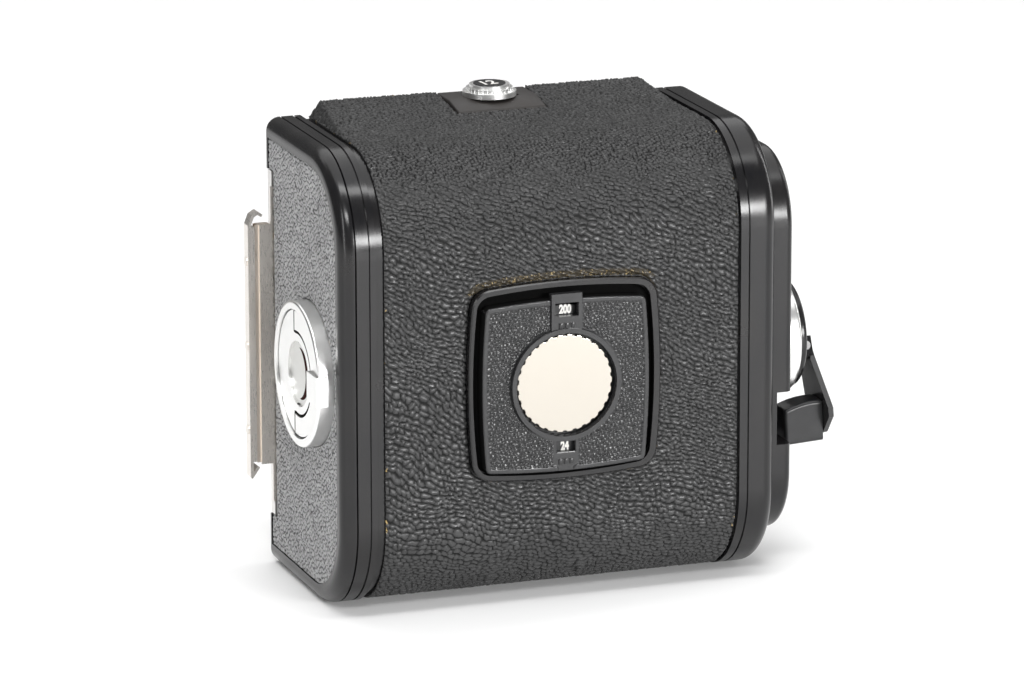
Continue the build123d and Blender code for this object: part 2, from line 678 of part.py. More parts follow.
def dial_face_plate():
    plate = bowed_slab(17.0, 16.2, 1.1, 0.0, DIAL_PLATE_Z, DIAL_PLATE_Y, SKIN_Y - 0.5)
    plate = plate + block(-3.1, 3.1, DIAL_PLATE_Y - 0.5, DIAL_PLATE_Y + 1.0, 54.9, 62.4)
    plate = plate + rod_y(DIAL_RING_Y, DIAL_PLATE_Y + 0.3, DIAL_X, DIAL_Z, DIAL_R + 1.1)
    plate = plate - rod_y(DIAL_RING_Y - 1, DIAL_PLATE_Y + 1.1, DIAL_X, DIAL_Z, DIAL_R + GAP)
    plate = plate - rod_y(DIAL_PLATE_Y + 1.0, -20, DIAL_X, DIAL_Z, 15.6)
    plate = plate - block(-2.4, 2.4, -28, -23, 57.9, 60.6)
    plate = plate - block(-1.95, 1.95, -28, -23, 31.0, 33.1)
    return plate


def speed_dial():
    disc = rod_y(DIAL_CAP_Y + 0.8, NUMBER_Y - 0.05, DIAL_X, DIAL_Z, DIAL_R)
    disc = scalloped("y", disc, (DIAL_X, DIAL_Z), DIAL_R + 0.1, 0.35, 48, -30, -20)
    return disc + rod_y(NUMBER_Y - 0.05, -23.5, DIAL_X, DIAL_Z, 3.0)


def dial_cap():
    cap = rod_y(DIAL_CAP_Y, DIAL_CAP_Y + 0.8, DIAL_X, DIAL_Z, DIAL_R - 0.25)
    cap = chamfer(cap.faces().sort_by(Axis.Y)[0].edges(), 0.35)
    return scalloped("y", cap, (DIAL_X, DIAL_Z), DIAL_R - 0.15, 0.5, 48, -30, -20)


def number_ring():
    return rod_y(NUMBER_Y, -23.6, DIAL_X, DIAL_Z, 15.3) - rod_y(-26, -20, DIAL_X, DIAL_Z, 3.0)


# ---------------------------------------------------------------- crank and gears

def fold_frame():
    """Crank arm frame: X along the folded arm, Y across it, Z outwards from the cover."""
    tilt = math.radians(FOLD_TILT)
    along = Vector(0, -math.cos(tilt), -math.sin(tilt))
    hinge = Vector(0, CRANK_Y, CRANK_Z) + along * FOLD_SHIFT
    return Plane(origin=hinge, x_dir=along, z_dir=(1, 0, 0))


def lifted(shape):
    """Turns a piece of the folded arm outwards about its hinge, to where the arm rests."""
    hinge = fold_frame().offset(FOLD_X)
    return shape.rotate(Axis(hinge.origin, hinge.y_dir), -ARM_LIFT)


def across_rod(low, high, r):
    middle = (low + high) / 2
    return fold_frame() * (Pos(0, middle, FOLD_X) * Rot(90, 0, 0) * Cylinder(r, high - low))


def crank_disc():
    disc = rod_x(COVER_X + 0.35, DISC_X, CRANK_Y, CRANK_Z, CRANK_R)
    outer = edges_at_x(disc, DISC_X)
    return fillet(outer, 0.8)


def crank_plate():
    plate = rod_x(DISC_X, HUB_X, CRANK_Y, CRANK_Z, CRANK_R - 1.0)
    plate = fillet(edges_at_x(plate, HUB_X), 0.8)
    for low in (-2.7, 4.6):
        ear = fold_frame() * (Pos(0, low + 0.8, 55.8) * Box(3.8, 1.6, 3.8))
        plate = plate + ear
    return plate - across_rod(-10, 10, 0.9)


def crank_pin():
    return across_rod(-2.7, 6.2, 0.9)


def crank_arm():
    outline = Polyline((0.6, -0.9), (2.0, -1.2), (13.3, -5.5), (15.1, -4.9), (17.3, -0.4),
                       (17.1, 3.2), (14.5, 5.6), (2.0, 4.4), (0.6, 4.4), close=True)
    plate = extrude(fold_frame().offset(FOLD_X + 0.8) * make_face(outline), ARM_T)
    plate = chamfer(plate.faces().sort_by(Axis.X)[-1].edges(), 0.25)
    arm = plate + across_rod(-0.9, 4.4, 1.8)
    arm = arm - across_rod(-10, 10, 0.9 + FIT)
    arm = arm - rod_x(50, 62, KNOB_Y, KNOB_Z, 1.2 + FIT)
    return lifted(arm)


def crank_knob():
    inner = COVER_X - 0.2
    outer = FOLD_X + 0.7
    low = KNOB_Z - 3.9
    sides = Polyline((inner, KNOB_Z + 3.2), (inner, low), (outer, low), (outer, KNOB_Z + 4.3))
    top = ThreePointArc((outer, KNOB_Z + 4.3), ((inner + outer) / 2, KNOB_Z + 4.25), (inner, KNOB_Z + 3.2))
    profile = Plane.XZ.offset(-KNOB_Y - 2.9) * make_face(sides + top)
    knob = extrude(profile, 5.8)
    knob = fillet([edge for edge in knob.edges() if edge.center().X < outer - FIT], 0.7)
    head = FOLD_X + 0.8 + ARM_T + 0.1
    knob = knob + rod_x(52, head, KNOB_Y, KNOB_Z, 1.2)
    knob = knob + rod_x(head, head + 0.4, KNOB_Y, KNOB_Z, 2.2)
    return lifted(knob)


def gears():
    upper = heading(CRANK_AXIS, UPPER_AXIS)
    crank_phase = upper
    idler_phase = meshed_phase(crank_phase, CRANK_TEETH, IDLER_TEETH, upper)
    takeup_phase = meshed_phase(idler_phase, IDLER_TEETH, TAKEUP_TEETH,
                                heading(UPPER_AXIS, TAKEUP_AXIS))
    lower_phase = meshed_phase(crank_phase, CRANK_TEETH, IDLER_TEETH,
                               heading(CRANK_AXIS, LOWER_AXIS))
    camera_phase = meshed_phase(lower_phase, IDLER_TEETH, CAMERA_TEETH,
                                heading(LOWER_AXIS, CAMERA_AXIS))
    crank_shaft = rod_x(34.6, COVER_X + 0.35, *CRANK_AXIS, 2.5)
    takeup = gear(TAKEUP_TEETH, *TAKEUP_AXIS, takeup_phase, 2.0)
    takeup = takeup + rod_x(34.2, GEAR_L + GEAR_W, *TAKEUP_AXIS, 3.5)
    takeup = takeup + rod_x(30.9, 34.2, *TAKEUP_AXIS, 2.2)
    takeup = takeup + block(31.2, 32.5, SPOOL_Y - 3.4, SPOOL_Y + 3.4, TAKEUP_Z - 0.5, TAKEUP_Z + 0.5)
    return {
        "crank_gear": gear(CRANK_TEETH, *CRANK_AXIS, crank_phase, 2.0) + crank_shaft,
        "upper_idler": gear(IDLER_TEETH, *UPPER_AXIS, idler_phase, 1.5 + FIT),
        "takeup_gear": takeup,
        "lower_idler": gear(IDLER_TEETH, *LOWER_AXIS, lower_phase, 1.5 + FIT),
        "camera_gear": gear(CAMERA_TEETH, *CAMERA_AXIS, camera_phase, 1.5 + FIT),
    }


def gear_posts():
    pieces = []
    for axis in (UPPER_AXIS, LOWER_AXIS, CAMERA_AXIS):
        pieces.append(rod_x(34.6, 41.0, *axis, 1.5))
        pieces.append(rod_x(40.2, 40.7, *axis, 2.8) - rod_x(40, 41, *axis, 1.5))
    return Compound(pieces)


def counter_disc():
    disc = rod_x(45.9, 46.5, COUNTER_Y, COUNTER_Z, 8.2)
    disc = disc + rod_x(45.0, 45.9, COUNTER_Y, COUNTER_Z, 5.0)
    disc = scalloped("x", disc, (COUNTER_Y, COUNTER_Z), 5.2, 0.45, 24, 44.5, 45.9)
    return disc - rod_x(40, 50, COUNTER_Y, COUNTER_Z, 1.2 + FIT)


def status_flag():
    flag = rod_x(45.6, 46.1, COUNTER_Y, FLAG_Z, 1.9)
    flag = flag + block(45.6, 46.1, COUNTER_Y - 2.6, COUNTER_Y + 2.6, FLAG_Z + 1.0, FLAG_Z + 4.4)
    return flag - rod_x(45, 47, COUNTER_Y, FLAG_Z, 1.0 + FIT)


NODES = {
    "main_shell": main_shell(),
    "shell_leather": shell_leather(),
    "button_plate": button_plate(),
    "front_plate": front_plate(),
    "front_plate_screws": front_plate_screws(),
    "film_gate": film_gate(),
    "slide_seal": slide_seal(),
    "right_plate": right_plate(),
    "bridge_plate": bridge_plate(),
    "gear_cover": gear_cover(),
    "gear_cover_leather": gear_cover_panel(0.1),
    "cover_screws": cover_screws(),
    "counter_windows": counter_windows(),
    "slide_blade": slide_blade(),
    "slide_channel": slide_channel(),
    "slide_handle": slide_handle(),
    "slide_rivets": slide_rivets(),
    "release_button": release_button(),
    "button_label": button_label(),
    "catch_bar": catch_bar(),
    "catch_spring": catch_spring(),
    "left_cover": left_cover(),
    "left_cover_leather": left_cover_leather(),
    "insert_frame": insert_frame(),
    "insert_posts": insert_posts(),
    "insert_screws": insert_screws(),
    "supply_pin": supply_pin(),
    "supply_spool": spool(SUPPLY_Z),
    "takeup_spool": spool(TAKEUP_Z),
    "takeup_knob": takeup_knob(),
    "lower_roller": roller(ROLLER_Z[0]),
    "upper_roller": roller(ROLLER_Z[1]),
    "pressure_plate": pressure_plate(),
    "pressure_springs": pressure_springs(),
    "upper_lock_bolt": lock_bolt(53.2, HEIGHT - WALL - 0.1),
    "lower_lock_bolt": lock_bolt(WALL + 0.1, 37.2),
    "key_ring": key_ring(),
    "key_disc": key_disc(),
    "key_window": key_window(0.05),
    "key_handle": key_handle(),
    "handle_pins": handle_pins(),
    "key_shaft": key_shaft(),
    "dial_frame": dial_frame(),
    "dial_face_plate": dial_face_plate(),
    "speed_dial": speed_dial(),
    "dial_cap": dial_cap(),
    "number_ring": number_ring(),
    "crank_disc": crank_disc(),
    "crank_plate": crank_plate(),
    "crank_pin": crank_pin(),
    "crank_arm": crank_arm(),
    "crank_knob": crank_knob(),
    "gear_posts": gear_posts(),
    "counter_disc": counter_disc(),
    "status_flag": status_flag(),
}
NODES.update(gears())

os.makedirs("parts", exist_ok=True)
for name, shape in NODES.items():
    export_step(shape, "parts/" + name + ".step")
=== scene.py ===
import math

import bmesh
import bpy
import numpy as np
from mathutils import Matrix, Vector


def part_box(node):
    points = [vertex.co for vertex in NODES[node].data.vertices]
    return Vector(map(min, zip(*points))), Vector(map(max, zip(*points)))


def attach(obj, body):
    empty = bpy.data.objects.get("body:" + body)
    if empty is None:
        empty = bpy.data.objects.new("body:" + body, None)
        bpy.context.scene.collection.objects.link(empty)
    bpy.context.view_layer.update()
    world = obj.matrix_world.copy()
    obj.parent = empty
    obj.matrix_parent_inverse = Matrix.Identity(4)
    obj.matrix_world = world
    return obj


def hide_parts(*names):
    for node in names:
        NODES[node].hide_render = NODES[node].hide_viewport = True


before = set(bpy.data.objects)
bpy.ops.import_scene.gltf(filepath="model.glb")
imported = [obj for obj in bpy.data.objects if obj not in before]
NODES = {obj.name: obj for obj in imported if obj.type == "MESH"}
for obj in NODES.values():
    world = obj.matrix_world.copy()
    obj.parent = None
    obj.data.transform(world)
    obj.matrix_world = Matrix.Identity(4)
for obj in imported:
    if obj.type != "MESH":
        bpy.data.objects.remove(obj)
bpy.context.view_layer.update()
MM = 0.001


# ------------------------------------------------------------------ materials

class Paint:
    """One procedural material: small helpers that add nodes round a Principled shader."""

    def __init__(self, name, **uniform):
        self.mat = bpy.data.materials.new(name)
        self.mat.use_nodes = True
        self.tree = self.mat.node_tree
        self.shader = self.tree.nodes["Principled BSDF"]
        self.place = self.node("ShaderNodeTexCoord").outputs["Object"]
        for socket, value in uniform.items():
            self.shader.inputs[socket.replace("_", " ")].default_value = value

    def node(self, kind, **settings):
        made = self.tree.nodes.new(kind)
        for key, value in settings.items():
            setattr(made, key, value)
        return made

    def link(self, source, target):
        """Feeds a socket, or sets its value where source is a plain number or colour."""
        if hasattr(source, "is_output"):
            self.tree.links.new(source, target)
        else:
            target.default_value = source

    def stretched(self, x, y, z):
        """Object coordinates scaled along each axis, to draw a pattern out."""
        mapping = self.node("ShaderNodeMapping")
        mapping.inputs["Scale"].default_value = (x, y, z)
        self.link(self.place, mapping.inputs["Vector"])
        return mapping.outputs[0]

    def noise(self, size_mm, detail=3.0, rough=0.55, where=None, warp=0.0):
        """Fractal noise whose largest features are about size_mm wide."""
        made = self.node("ShaderNodeTexNoise")
        self.link(where or self.place, made.inputs["Vector"])
        made.inputs["Scale"].default_value = 1.0 / (size_mm * MM)
        made.inputs["Detail"].default_value = detail
        made.inputs["Roughness"].default_value = rough
        made.inputs["Distortion"].default_value = warp
        return made.outputs["Fac"]

    def cells(self, size_mm):
        """Distance to the middle of each irregular cell."""
        made = self.node("ShaderNodeTexVoronoi", feature="F1")
        self.link(self.place, made.inputs["Vector"])
        made.inputs["Scale"].default_value = 1.0 / (size_mm * MM)
        return made.outputs["Distance"]

    def math(self, what, a, b):
        made = self.node("ShaderNodeMath", operation=what)
        self.link(a, made.inputs[0])
        self.link(b, made.inputs[1])
        return made.outputs[0]

    def span(self, value, low, high, to_low=0.0, to_high=1.0):
        """Maps low..high to to_low..to_high, and clamps outside."""
        made = self.node("ShaderNodeMapRange", clamp=True)
        self.link(value, made.inputs["Value"])
        limits = {"From Min": low, "From Max": high, "To Min": to_low, "To Max": to_high}
        for key, limit in limits.items():
            made.inputs[key].default_value = limit
        return made.outputs["Result"]

    def blend(self, share, a, b):
        """Colour a where share is 0, and b where it is 1."""
        made = self.node("ShaderNodeMix", data_type="RGBA")
        self.link(share, made.inputs[0])
        for value, target in ((a, made.inputs[6]), (b, made.inputs[7])):
            self.link(value if hasattr(value, "is_output") else (*value, 1.0), target)
        return made.outputs[2]

    def attribute(self, name):
        """A value that the mesh carries for each of its points."""
        return self.node("ShaderNodeAttribute", attribute_name=name).outputs["Fac"]

    def edges(self, radius_mm):
        """0 on flat faces, rising to 1 on sharp edges."""
        bevel = self.node("ShaderNodeBevel", samples=4)
        bevel.inputs["Radius"].default_value = radius_mm * MM
        flat = self.node("ShaderNodeNewGeometry").outputs["Normal"]
        dot = self.node("ShaderNodeVectorMath", operation="DOT_PRODUCT")
        self.link(bevel.outputs[0], dot.inputs[0])
        self.link(flat, dot.inputs[1])
        return self.span(dot.outputs["Value"], 0.995, 0.8)

    def bump(self, *layers):
        """layers are (height socket, depth in mm)."""
        last = None
        for height, depth in layers:
            made = self.node("ShaderNodeBump")
            made.inputs["Strength"].default_value = 1.0
            made.inputs["Distance"].default_value = depth * MM
            self.link(height, made.inputs["Height"])
            if last is not None:
                self.link(last, made.inputs["Normal"])
            last = made.outputs[0]
        self.link(last, self.shader.inputs["Normal"])

    def colour(self, value):
        self.link(value, self.shader.inputs["Base Color"])

    def rough(self, value):
        self.link(value, self.shader.inputs["Roughness"])

    def metal(self, value):
        self.link(value, self.shader.inputs["Metallic"])


def enamel(name, dark, light, rough_low, rough_high, worn=0.75):
    """Black stoving enamel: slight orange peel, handling marks, and bare metal at worn edges."""
    peel = 0.004
    p = Paint(name, IOR=1.44)
    marks = p.noise(9.0, 5.0, 0.6)
    fine = p.noise(0.5, 2.0)
    patchy = p.span(p.noise(2.3, 4.0, 0.65), worn, worn + 0.06)
    worn_edge = p.math("MULTIPLY", p.edges(0.22), patchy)
    body = p.blend(p.span(marks, 0.3, 0.75), dark, light)
    p.colour(p.blend(worn_edge, body, (0.46, 0.40, 0.31)))
    p.metal(worn_edge)
    p.rough(p.span(marks, 0.25, 0.8, rough_low, rough_high))
    p.bump((p.noise(1.1, 2.0), peel), (fine, peel * 0.15))
    return p.mat


def leather(name, dark, light, rough_low, rough_high, grain_mm, grain_depth, painted_crease_shade, gloss):
    """Leatherette: pores and fine wrinkles over the modelled grain, brown glue at cut edges, and
    painted shade in the grain's valleys.
    """
    p = Paint(name, Specular_IOR_Level=gloss)
    patches = p.noise(14.0, 4.0, 0.6)
    fine = p.noise(grain_mm, 4.0, 0.6, warp=0.4)
    valley = p.attribute("valley")
    body = p.blend(p.span(patches, 0.3, 0.7), dark, light)
    # painted shade: the grain's valleys darkened towards black, standing for the shade in the
    # creases
    body = p.blend(p.math("MULTIPLY", valley, painted_crease_shade), body, tuple(0.08 * c for c in dark))
    specks = p.span(p.noise(0.42, 3.0, 0.6), 0.60, 0.66)
    crumbs = p.blend(specks, (0.034, 0.028, 0.019), (0.36, 0.27, 0.13))
    rim_glue = p.math("MULTIPLY", p.attribute("rim"), p.span(p.noise(2.6, 3.0, 0.7), 0.66, 0.70))
    body = p.blend(rim_glue, body, (0.42, 0.30, 0.12))
    strip = p.math("MULTIPLY", p.attribute("glue"), p.span(p.noise(1.3, 3.0, 0.7), 0.30, 0.42))
    p.colour(p.blend(strip, body, crumbs))
    shine = p.span(fine, 0.3, 0.7, rough_low, rough_high)
    p.rough(p.math("ADD", shine, p.math("MULTIPLY", valley, 0.45)))
    p.bump((p.cells(grain_mm * 1.6), grain_depth), (fine, grain_depth * 0.6))
    return p.mat


def metal(name, colour, tint, rough_low, rough_high, along=None, brush=0.0015, stain=0.35):
    """Bare or plated metal: brushed one way or fine-grained, with faint stains."""
    p = Paint(name, Metallic=1.0)
    where = p.place if along is None else p.stretched(*along)
    grain = p.noise(0.12, 3.0, 0.6, where)
    stains = p.noise(5.0, 5.0, 0.65)
    p.colour(p.blend(p.math("MULTIPLY", p.span(stains, 0.45, 0.8), stain), colour, tint))
    shine = p.span(grain, 0.3, 0.7, rough_low, rough_high)
    p.rough(p.math("ADD", shine, p.span(stains, 0.5, 0.9, 0.0, 0.08)))
    p.bump((grain, brush))
    return p.mat


def plastic(name, dark, light, rough_low, rough_high, texture_mm=0.35, depth=0.003, valley=None):
    """Moulded plastic or paint with a fine texture and a little dust; with a valley mark, painted
    shade in the low parts.
    """
    p = Paint(name, IOR=1.47)
    marks = p.noise(6.0, 5.0, 0.6)
    fine = p.noise(texture_mm, 3.0)
    body = p.blend(p.span(marks, 0.35, 0.75), dark, light)
    if valley is not None:
        # painted shade: the low parts darkened towards black, standing for the shade between the
        # pebbles
        painted_shade_share = p.math("MULTIPLY", p.attribute(valley), 0.8)
        body = p.blend(painted_shade_share, body, tuple(0.1 * c for c in dark))
    p.colour(body)
    p.rough(p.span(marks, 0.3, 0.75, rough_low, rough_high))
    p.bump((fine, depth))
    return p.mat


def glass(name):
    """Clear window plastic with faint smears."""
    p = Paint(name, IOR=1.5)
    p.shader.inputs["Transmission Weight"].default_value = 1.0
    p.colour(p.blend(p.span(p.noise(3.0), 0.4, 0.8), (0.97, 0.98, 0.98), (0.90, 0.92, 0.91)))
    p.rough(p.span(p.noise(2.0, 4.0), 0.4, 0.8, 0.02, 0.09))
    return p.mat


def velvet(name):
    """Black light-seal pile."""
    p = Paint(name, Roughness=1.0)
    p.shader.inputs["Sheen Weight"].default_value = 0.6
    fibre = p.noise(0.15, 4.0, 0.7)
    p.colour(p.blend(p.span(fibre, 0.35, 0.7), (0.004, 0.004, 0.004), (0.02, 0.02, 0.021)))
    p.bump((fibre, 0.05))
    return p.mat


def lampblack(name, dark=(0.0015, 0.0015, 0.0015), light=(0.003, 0.003, 0.003)):
    """A dull coat that swallows light: painted shade in gaps and at the bottoms of grooves, and the
    dark red slip.
    """
    p = Paint(name, Roughness=0.9)
    p.shader.inputs["Specular IOR Level"].default_value = 0.1
    p.colour(p.blend(p.noise(0.8), dark, light))
    p.bump((p.noise(0.2), 0.004))
    return p.mat


FINISH = {
    "black_enamel": enamel("black_enamel", (0.007, 0.007, 0.008), (0.013, 0.012, 0.012),
                           0.16, 0.30),
    "black_leatherette": leather("black_leatherette", (0.041, 0.041, 0.0414),
                                 (0.055, 0.055, 0.0554), 0.19, 0.28, 0.16, 0.006, 0.99, 0.24),
    # grey partly the leather's own tone and partly painted sheen: lightened to carry the sheen the
    # left side shows at a grazing view
    "fine_leatherette": leather("fine_leatherette", (0.380, 0.380, 0.384), (0.480, 0.480, 0.484),
                                0.28, 0.40, 0.14, 0.008, 0.98, 0.5),
    "satin_alloy": metal("satin_alloy", (0.80, 0.79, 0.77), (0.55, 0.53, 0.50), 0.34, 0.46),
    "bright_screw": metal("bright_screw", (0.78, 0.76, 0.72), (0.35, 0.32, 0.28), 0.18, 0.30),
    "black_anodised": enamel("black_anodised", (0.009, 0.009, 0.010), (0.014, 0.014, 0.016),
                             0.42, 0.55, 0.80),
    "black_velvet": velvet("black_velvet"),
    "brass_plate": metal("brass_plate", (0.66, 0.50, 0.23), (0.33, 0.22, 0.09),
                         0.25, 0.38, (1, 0.06, 1)),
    "clear_window": glass("clear_window"),
    "stainless_sheet": metal("stainless_sheet", (0.84, 0.80, 0.75), (0.62, 0.57, 0.51), 0.24, 0.36,
                             (1, 1, 0.05), 0.001, 0.12),
    "folded_sheet": metal("folded_sheet", (0.80, 0.71, 0.62), (0.66, 0.57, 0.48), 0.26, 0.40,
                          (1, 1, 0.02), 0.0005, 0.0),
    "satin_chrome": metal("satin_chrome", (0.88, 0.88, 0.87), (0.78, 0.77, 0.75),
                          0.27, 0.38, None, 0.0008, 0.2),
    "label_black": plastic("label_black", (0.008, 0.008, 0.009), (0.016, 0.016, 0.017), 0.25, 0.38),
    "label_white": plastic("label_white", (0.86, 0.85, 0.82), (0.80, 0.78, 0.74), 0.35, 0.5),
    "flag_red": plastic("flag_red", (0.50, 0.015, 0.012), (0.36, 0.012, 0.010), 0.3, 0.45),
    "spring_steel": metal("spring_steel", (0.50, 0.50, 0.51), (0.25, 0.22, 0.20), 0.22, 0.35),
    "spool_plastic": plastic("spool_plastic", (0.012, 0.012, 0.013), (0.022, 0.022, 0.023),
                             0.3, 0.45),
    "dark_red_slip": lampblack("dark_red_slip", (0.020, 0.004, 0.003), (0.034, 0.006, 0.005)),
    "recess_alloy": metal("recess_alloy", (0.66, 0.66, 0.64), (0.56, 0.55, 0.53), 0.30, 0.42),
    "pebbled_plastic": plastic("pebbled_plastic", (0.020, 0.020, 0.021), (0.030, 0.030, 0.031),
                               0.16, 0.26, 0.12, 0.003, "valley"),
    "dial_black": enamel("dial_black", (0.010, 0.010, 0.011), (0.017, 0.017, 0.018),
                         0.26, 0.4, 0.62),
    "polished_cap": metal("polished_cap", (0.43, 0.402, 0.358), (0.42, 0.390, 0.345),
                          0.10, 0.14, None, 0.0004, 0.15),
    "knob_black": plastic("knob_black", (0.010, 0.010, 0.011), (0.018, 0.018, 0.019), 0.28, 0.42),
    "gear_brass": metal("gear_brass", (0.70, 0.55, 0.26), (0.40, 0.27, 0.10), 0.24, 0.36),
    # painted shade: a black liner for the dial's trench, standing for the shade in it
    "painted_trench_shade": lampblack("painted_trench_shade"),
    "plate_black": plastic("plate_black", (0.016, 0.014, 0.013), (0.026, 0.022, 0.020), 0.42, 0.60),
    # painted shade: a black that stands for the shade in narrow gaps
    "painted_gap_shade": lampblack("painted_gap_shade"),
}
# nodes whose look differs from the rest of their slot
CLOTHED = {"slide_channel": "folded_sheet"}


# the film key's disc, in mm: steep walls outside one radius, and the recess's floor inside another
STEEP = 0.7
POCKET_INNER_R = 7.6
RECESS_R = 6.5
RECESS_DEPTH = 0.5


def finish_of(node):
    """The name of the record's slot that a node's CAD mesh came in with."""
    return NODES[node].data.materials[0].name.split(".")[0]


def darken_pocket():
    """Paints shade in black on the steep walls of the key's handle pocket, and dulls the floor of
    its middle recess.
    """
    mesh = NODES["key_disc"].data
    mesh.materials.append(FINISH["painted_gap_shade"])
    mesh.materials.append(FINISH["recess_alloy"])
    low, high = (Vector(corner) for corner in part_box("key_disc"))
    centre = (low + high) / 2
    for polygon in mesh.polygons:
        steep = abs(polygon.normal.x) < STEEP
        across = (polygon.center - centre).yz.length
        depth = polygon.center.x - low.x
        # painted shade on the pocket's steep walls; the recess floor gets a duller metal
        if steep and across > POCKET_INNER_R * MM and depth > 0.05 * MM:
            polygon.material_index = 1
        elif not steep and across < RECESS_R * MM and abs(depth - RECESS_DEPTH * MM) < 0.1 * MM:
            polygon.material_index = 2


def dress(obj, slot_name, finish=None):
    """Gives a piece the finish of its slot, or another finish, in all its material slots."""
    look = FINISH[finish or slot_name]
    if len(obj.data.materials) == 0:
        obj.data.materials.append(look)
    for index in range(len(obj.data.materials)):
        obj.data.materials[index] = look


# ------------------------------------------------------------------ grained skins

# sizes in mm; SHARP values are the angles in degrees beyond which an edge shows as an edge
SKIN_SHARP = 62
PIECE_SHARP = 40
SNAP_SHARE = 0.62

# the casing's leather, and the cut in it for the plate under the release button
SHELL_HEIGHT = 90.0
BEND_R = 18.35
PLATFORM_Y = -4.2
PLATFORM_HALF = 33.2
PLATFORM_SIDE_RUN = 2.8
SLOPE_START = 0.75
BED_CUT_X = 9.3
BED_CUT_Y = 10.0
DIAL_HOLE_REACH = 21.5
LEATHER_T = 0.7
INNER_X = (-35.5, 36.3)
WRAP_STEP = 0.21
WRAP_STEP_X = 0.24
WRAP_SNAP = 0.17
GRAIN_LOW = -0.36
GRAIN_RISE = 0.46
EDGE_ROLL = 0.16
EDGE_ROLL_WIDTH = 0.55
GLUE_Z = 62.9

# the fine leather of the two covers
PANEL_STEP = 0.15
PANEL_LOW = -0.16
PANEL_RISE = 0.09 - PANEL_LOW
PANEL_ROLL = 0.10
PANEL_T = 0.6


def waves(u, v, size, seed):
    """A smooth random field in about -1 to 1 that varies over size."""
    rng = np.random.default_rng(seed)
    total = np.zeros_like(u)
    for angle, phase, stretch in zip(rng.uniform(0, 2 * math.pi, 7), rng.uniform(0, 2 * math.pi, 7),
                                     rng.uniform(0.7, 1.5, 7)):
        along = u * math.cos(angle) + v * math.sin(angle)
        total += np.sin(along * stretch * 2 * math.pi / size + phase)
    return total / 3.2


def pebble_field(u, v, size_u, size_v, seed, jitter_u, jitter_v):
    """Distances to the nearest and second nearest of jittered points, a random number per pebble,
    and how far down the pebble each place is.

    Every other row of points is moved half a pebble along, as in brickwork.
    """
    a, b = u / size_u, v / size_v
    ia, ib = np.floor(a).astype(int), np.floor(b).astype(int)
    near = np.full(u.shape, 9.0)
    second = np.full(u.shape, 9.0)
    which = np.zeros(u.shape)
    drop = np.zeros(u.shape)
    for da in (-2, -1, 0, 1):
        for db in (-1, 0, 1):
            ca, cb = ia + da, ib + db
            h = np.sin(ca * 127.1 + cb * 311.7 + seed * 17.3) * 43758.5453
            k = np.sin(ca * 269.5 + cb * 183.3 + seed * 29.1) * 24634.6345
            pa = ca + 0.5 + 0.5 * (cb % 2) + jitter_u * (2 * (h - np.floor(h)) - 1)
            pb = cb + 0.5 + jitter_v * (2 * (k - np.floor(k)) - 1)
            d = np.hypot(a - pa, b - pb)
            closer = d < near
            second = np.where(closer, near, np.minimum(second, d))
            which = np.where(closer, h - np.floor(h), which)
            drop = np.where(closer, b - pb, drop)
            near = np.where(closer, d, near)
    return near, second, which, drop


def smooth(x, low, high):
    """0 up to low, 1 from high on, and an S-shaped rise between them."""
    t = np.clip((x - low) / (high - low), 0, 1)
    return t * t * (3 - 2 * t)


def coarse_grain(u, v):
    """Height in 0..1 of the casing's grain: small on top, wide slanting rows down the rear."""
    lean = 0.46 - 0.22 * smooth(v, 75.0, 115.0)
    row = v - lean * u + 1.1 * waves(u, v, 21.0, 3) + 0.20 * waves(u, v, 3.6, 4)
    along = u + 0.35 * v + 0.8 * waves(u, v, 9.0, 5)
    near, second, which, drop = pebble_field(along, row, 1.45, 0.98, 1, 0.34, 0.20)
    crease = smooth(second - near, -0.10, 0.30)
    row_edge = 1 - 0.60 * smooth(np.abs(drop), 0.26, 0.50)
    wide = crease * row_edge * (0.60 + 0.25 * which + 0.55 * drop)
    a = u + 0.5 * v + 0.3 * waves(u, v, 4.0, 13)
    b = v - 0.5 * u + 0.2 * waves(u, v, 3.0, 14)
    near, second, which, drop = pebble_field(a, b, 1.05, 0.72, 6, 0.36, 0.26)
    small = smooth(second - near, 0.0, 0.34) * (0.60 + 0.35 * which + 0.35 * drop)
    share = smooth(v + 2.5 * waves(u, v, 13.0, 15), 38.0, 50.0)
    return np.clip(share * wide + (1 - share) * small, 0, 1)


def fine_grain(u, v):
    """Height in 0..1 of a small leather grain in short slanting rows."""
    a = u * 0.80 - v * 0.60 + 0.20 * waves(u, v, 3.1, 7)
    b = u * 0.60 + v * 0.80 + 0.20 * waves(u, v, 2.7, 8)
    near, second, which, _ = pebble_field(a, b, 0.52, 0.92, 3, 0.40, 0.40)
    crease = smooth(second - near, 0.02, 0.42)
    return np.clip(crease * (0.55 + 0.45 * which) - 0.15 * near * near, 0, 1)


def cast_grain(u, v):
    """Height in 0..1 of the round grain cast into the dial's face."""
    a = u + 0.10 * waves(u, v, 2.3, 9)
    b = v + 0.10 * waves(u, v, 2.9, 10)
    near, second, which, _ = pebble_field(a, b, 0.74, 0.66, 4, 0.36, 0.36)
    crease = smooth(second - near, 0.0, 0.42)
    return np.clip(1 - 2.2 * near * near, 0, 1) * crease * (0.5 + 0.5 * which)


def flat_outline(node, axis, sign, at=None):
    """Border of a node's flat outermost face, as 2-D segments in mm over the other two axes."""
    bm = bmesh.new()
    bm.from_mesh(NODES[node].data)
    bmesh.ops.remove_doubles(bm, verts=bm.verts, dist=1e-6)
    lo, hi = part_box(node)
    level = (hi if sign > 0 else lo)[axis] if at is None else at * MM
    flat = {f for f in bm.faces if f.normal[axis] * sign > 0.999
            and abs(f.calc_center_median()[axis] - level) < 2e-5}
    others = [i for i in range(3) if i != axis]
    found = []
    for edge in bm.edges:
        if sum(f in flat for f in edge.link_faces) == 1:
            found.append([[v.co[i] / MM for i in others] for v in edge.verts])
    bm.free()
    return np.array(found)


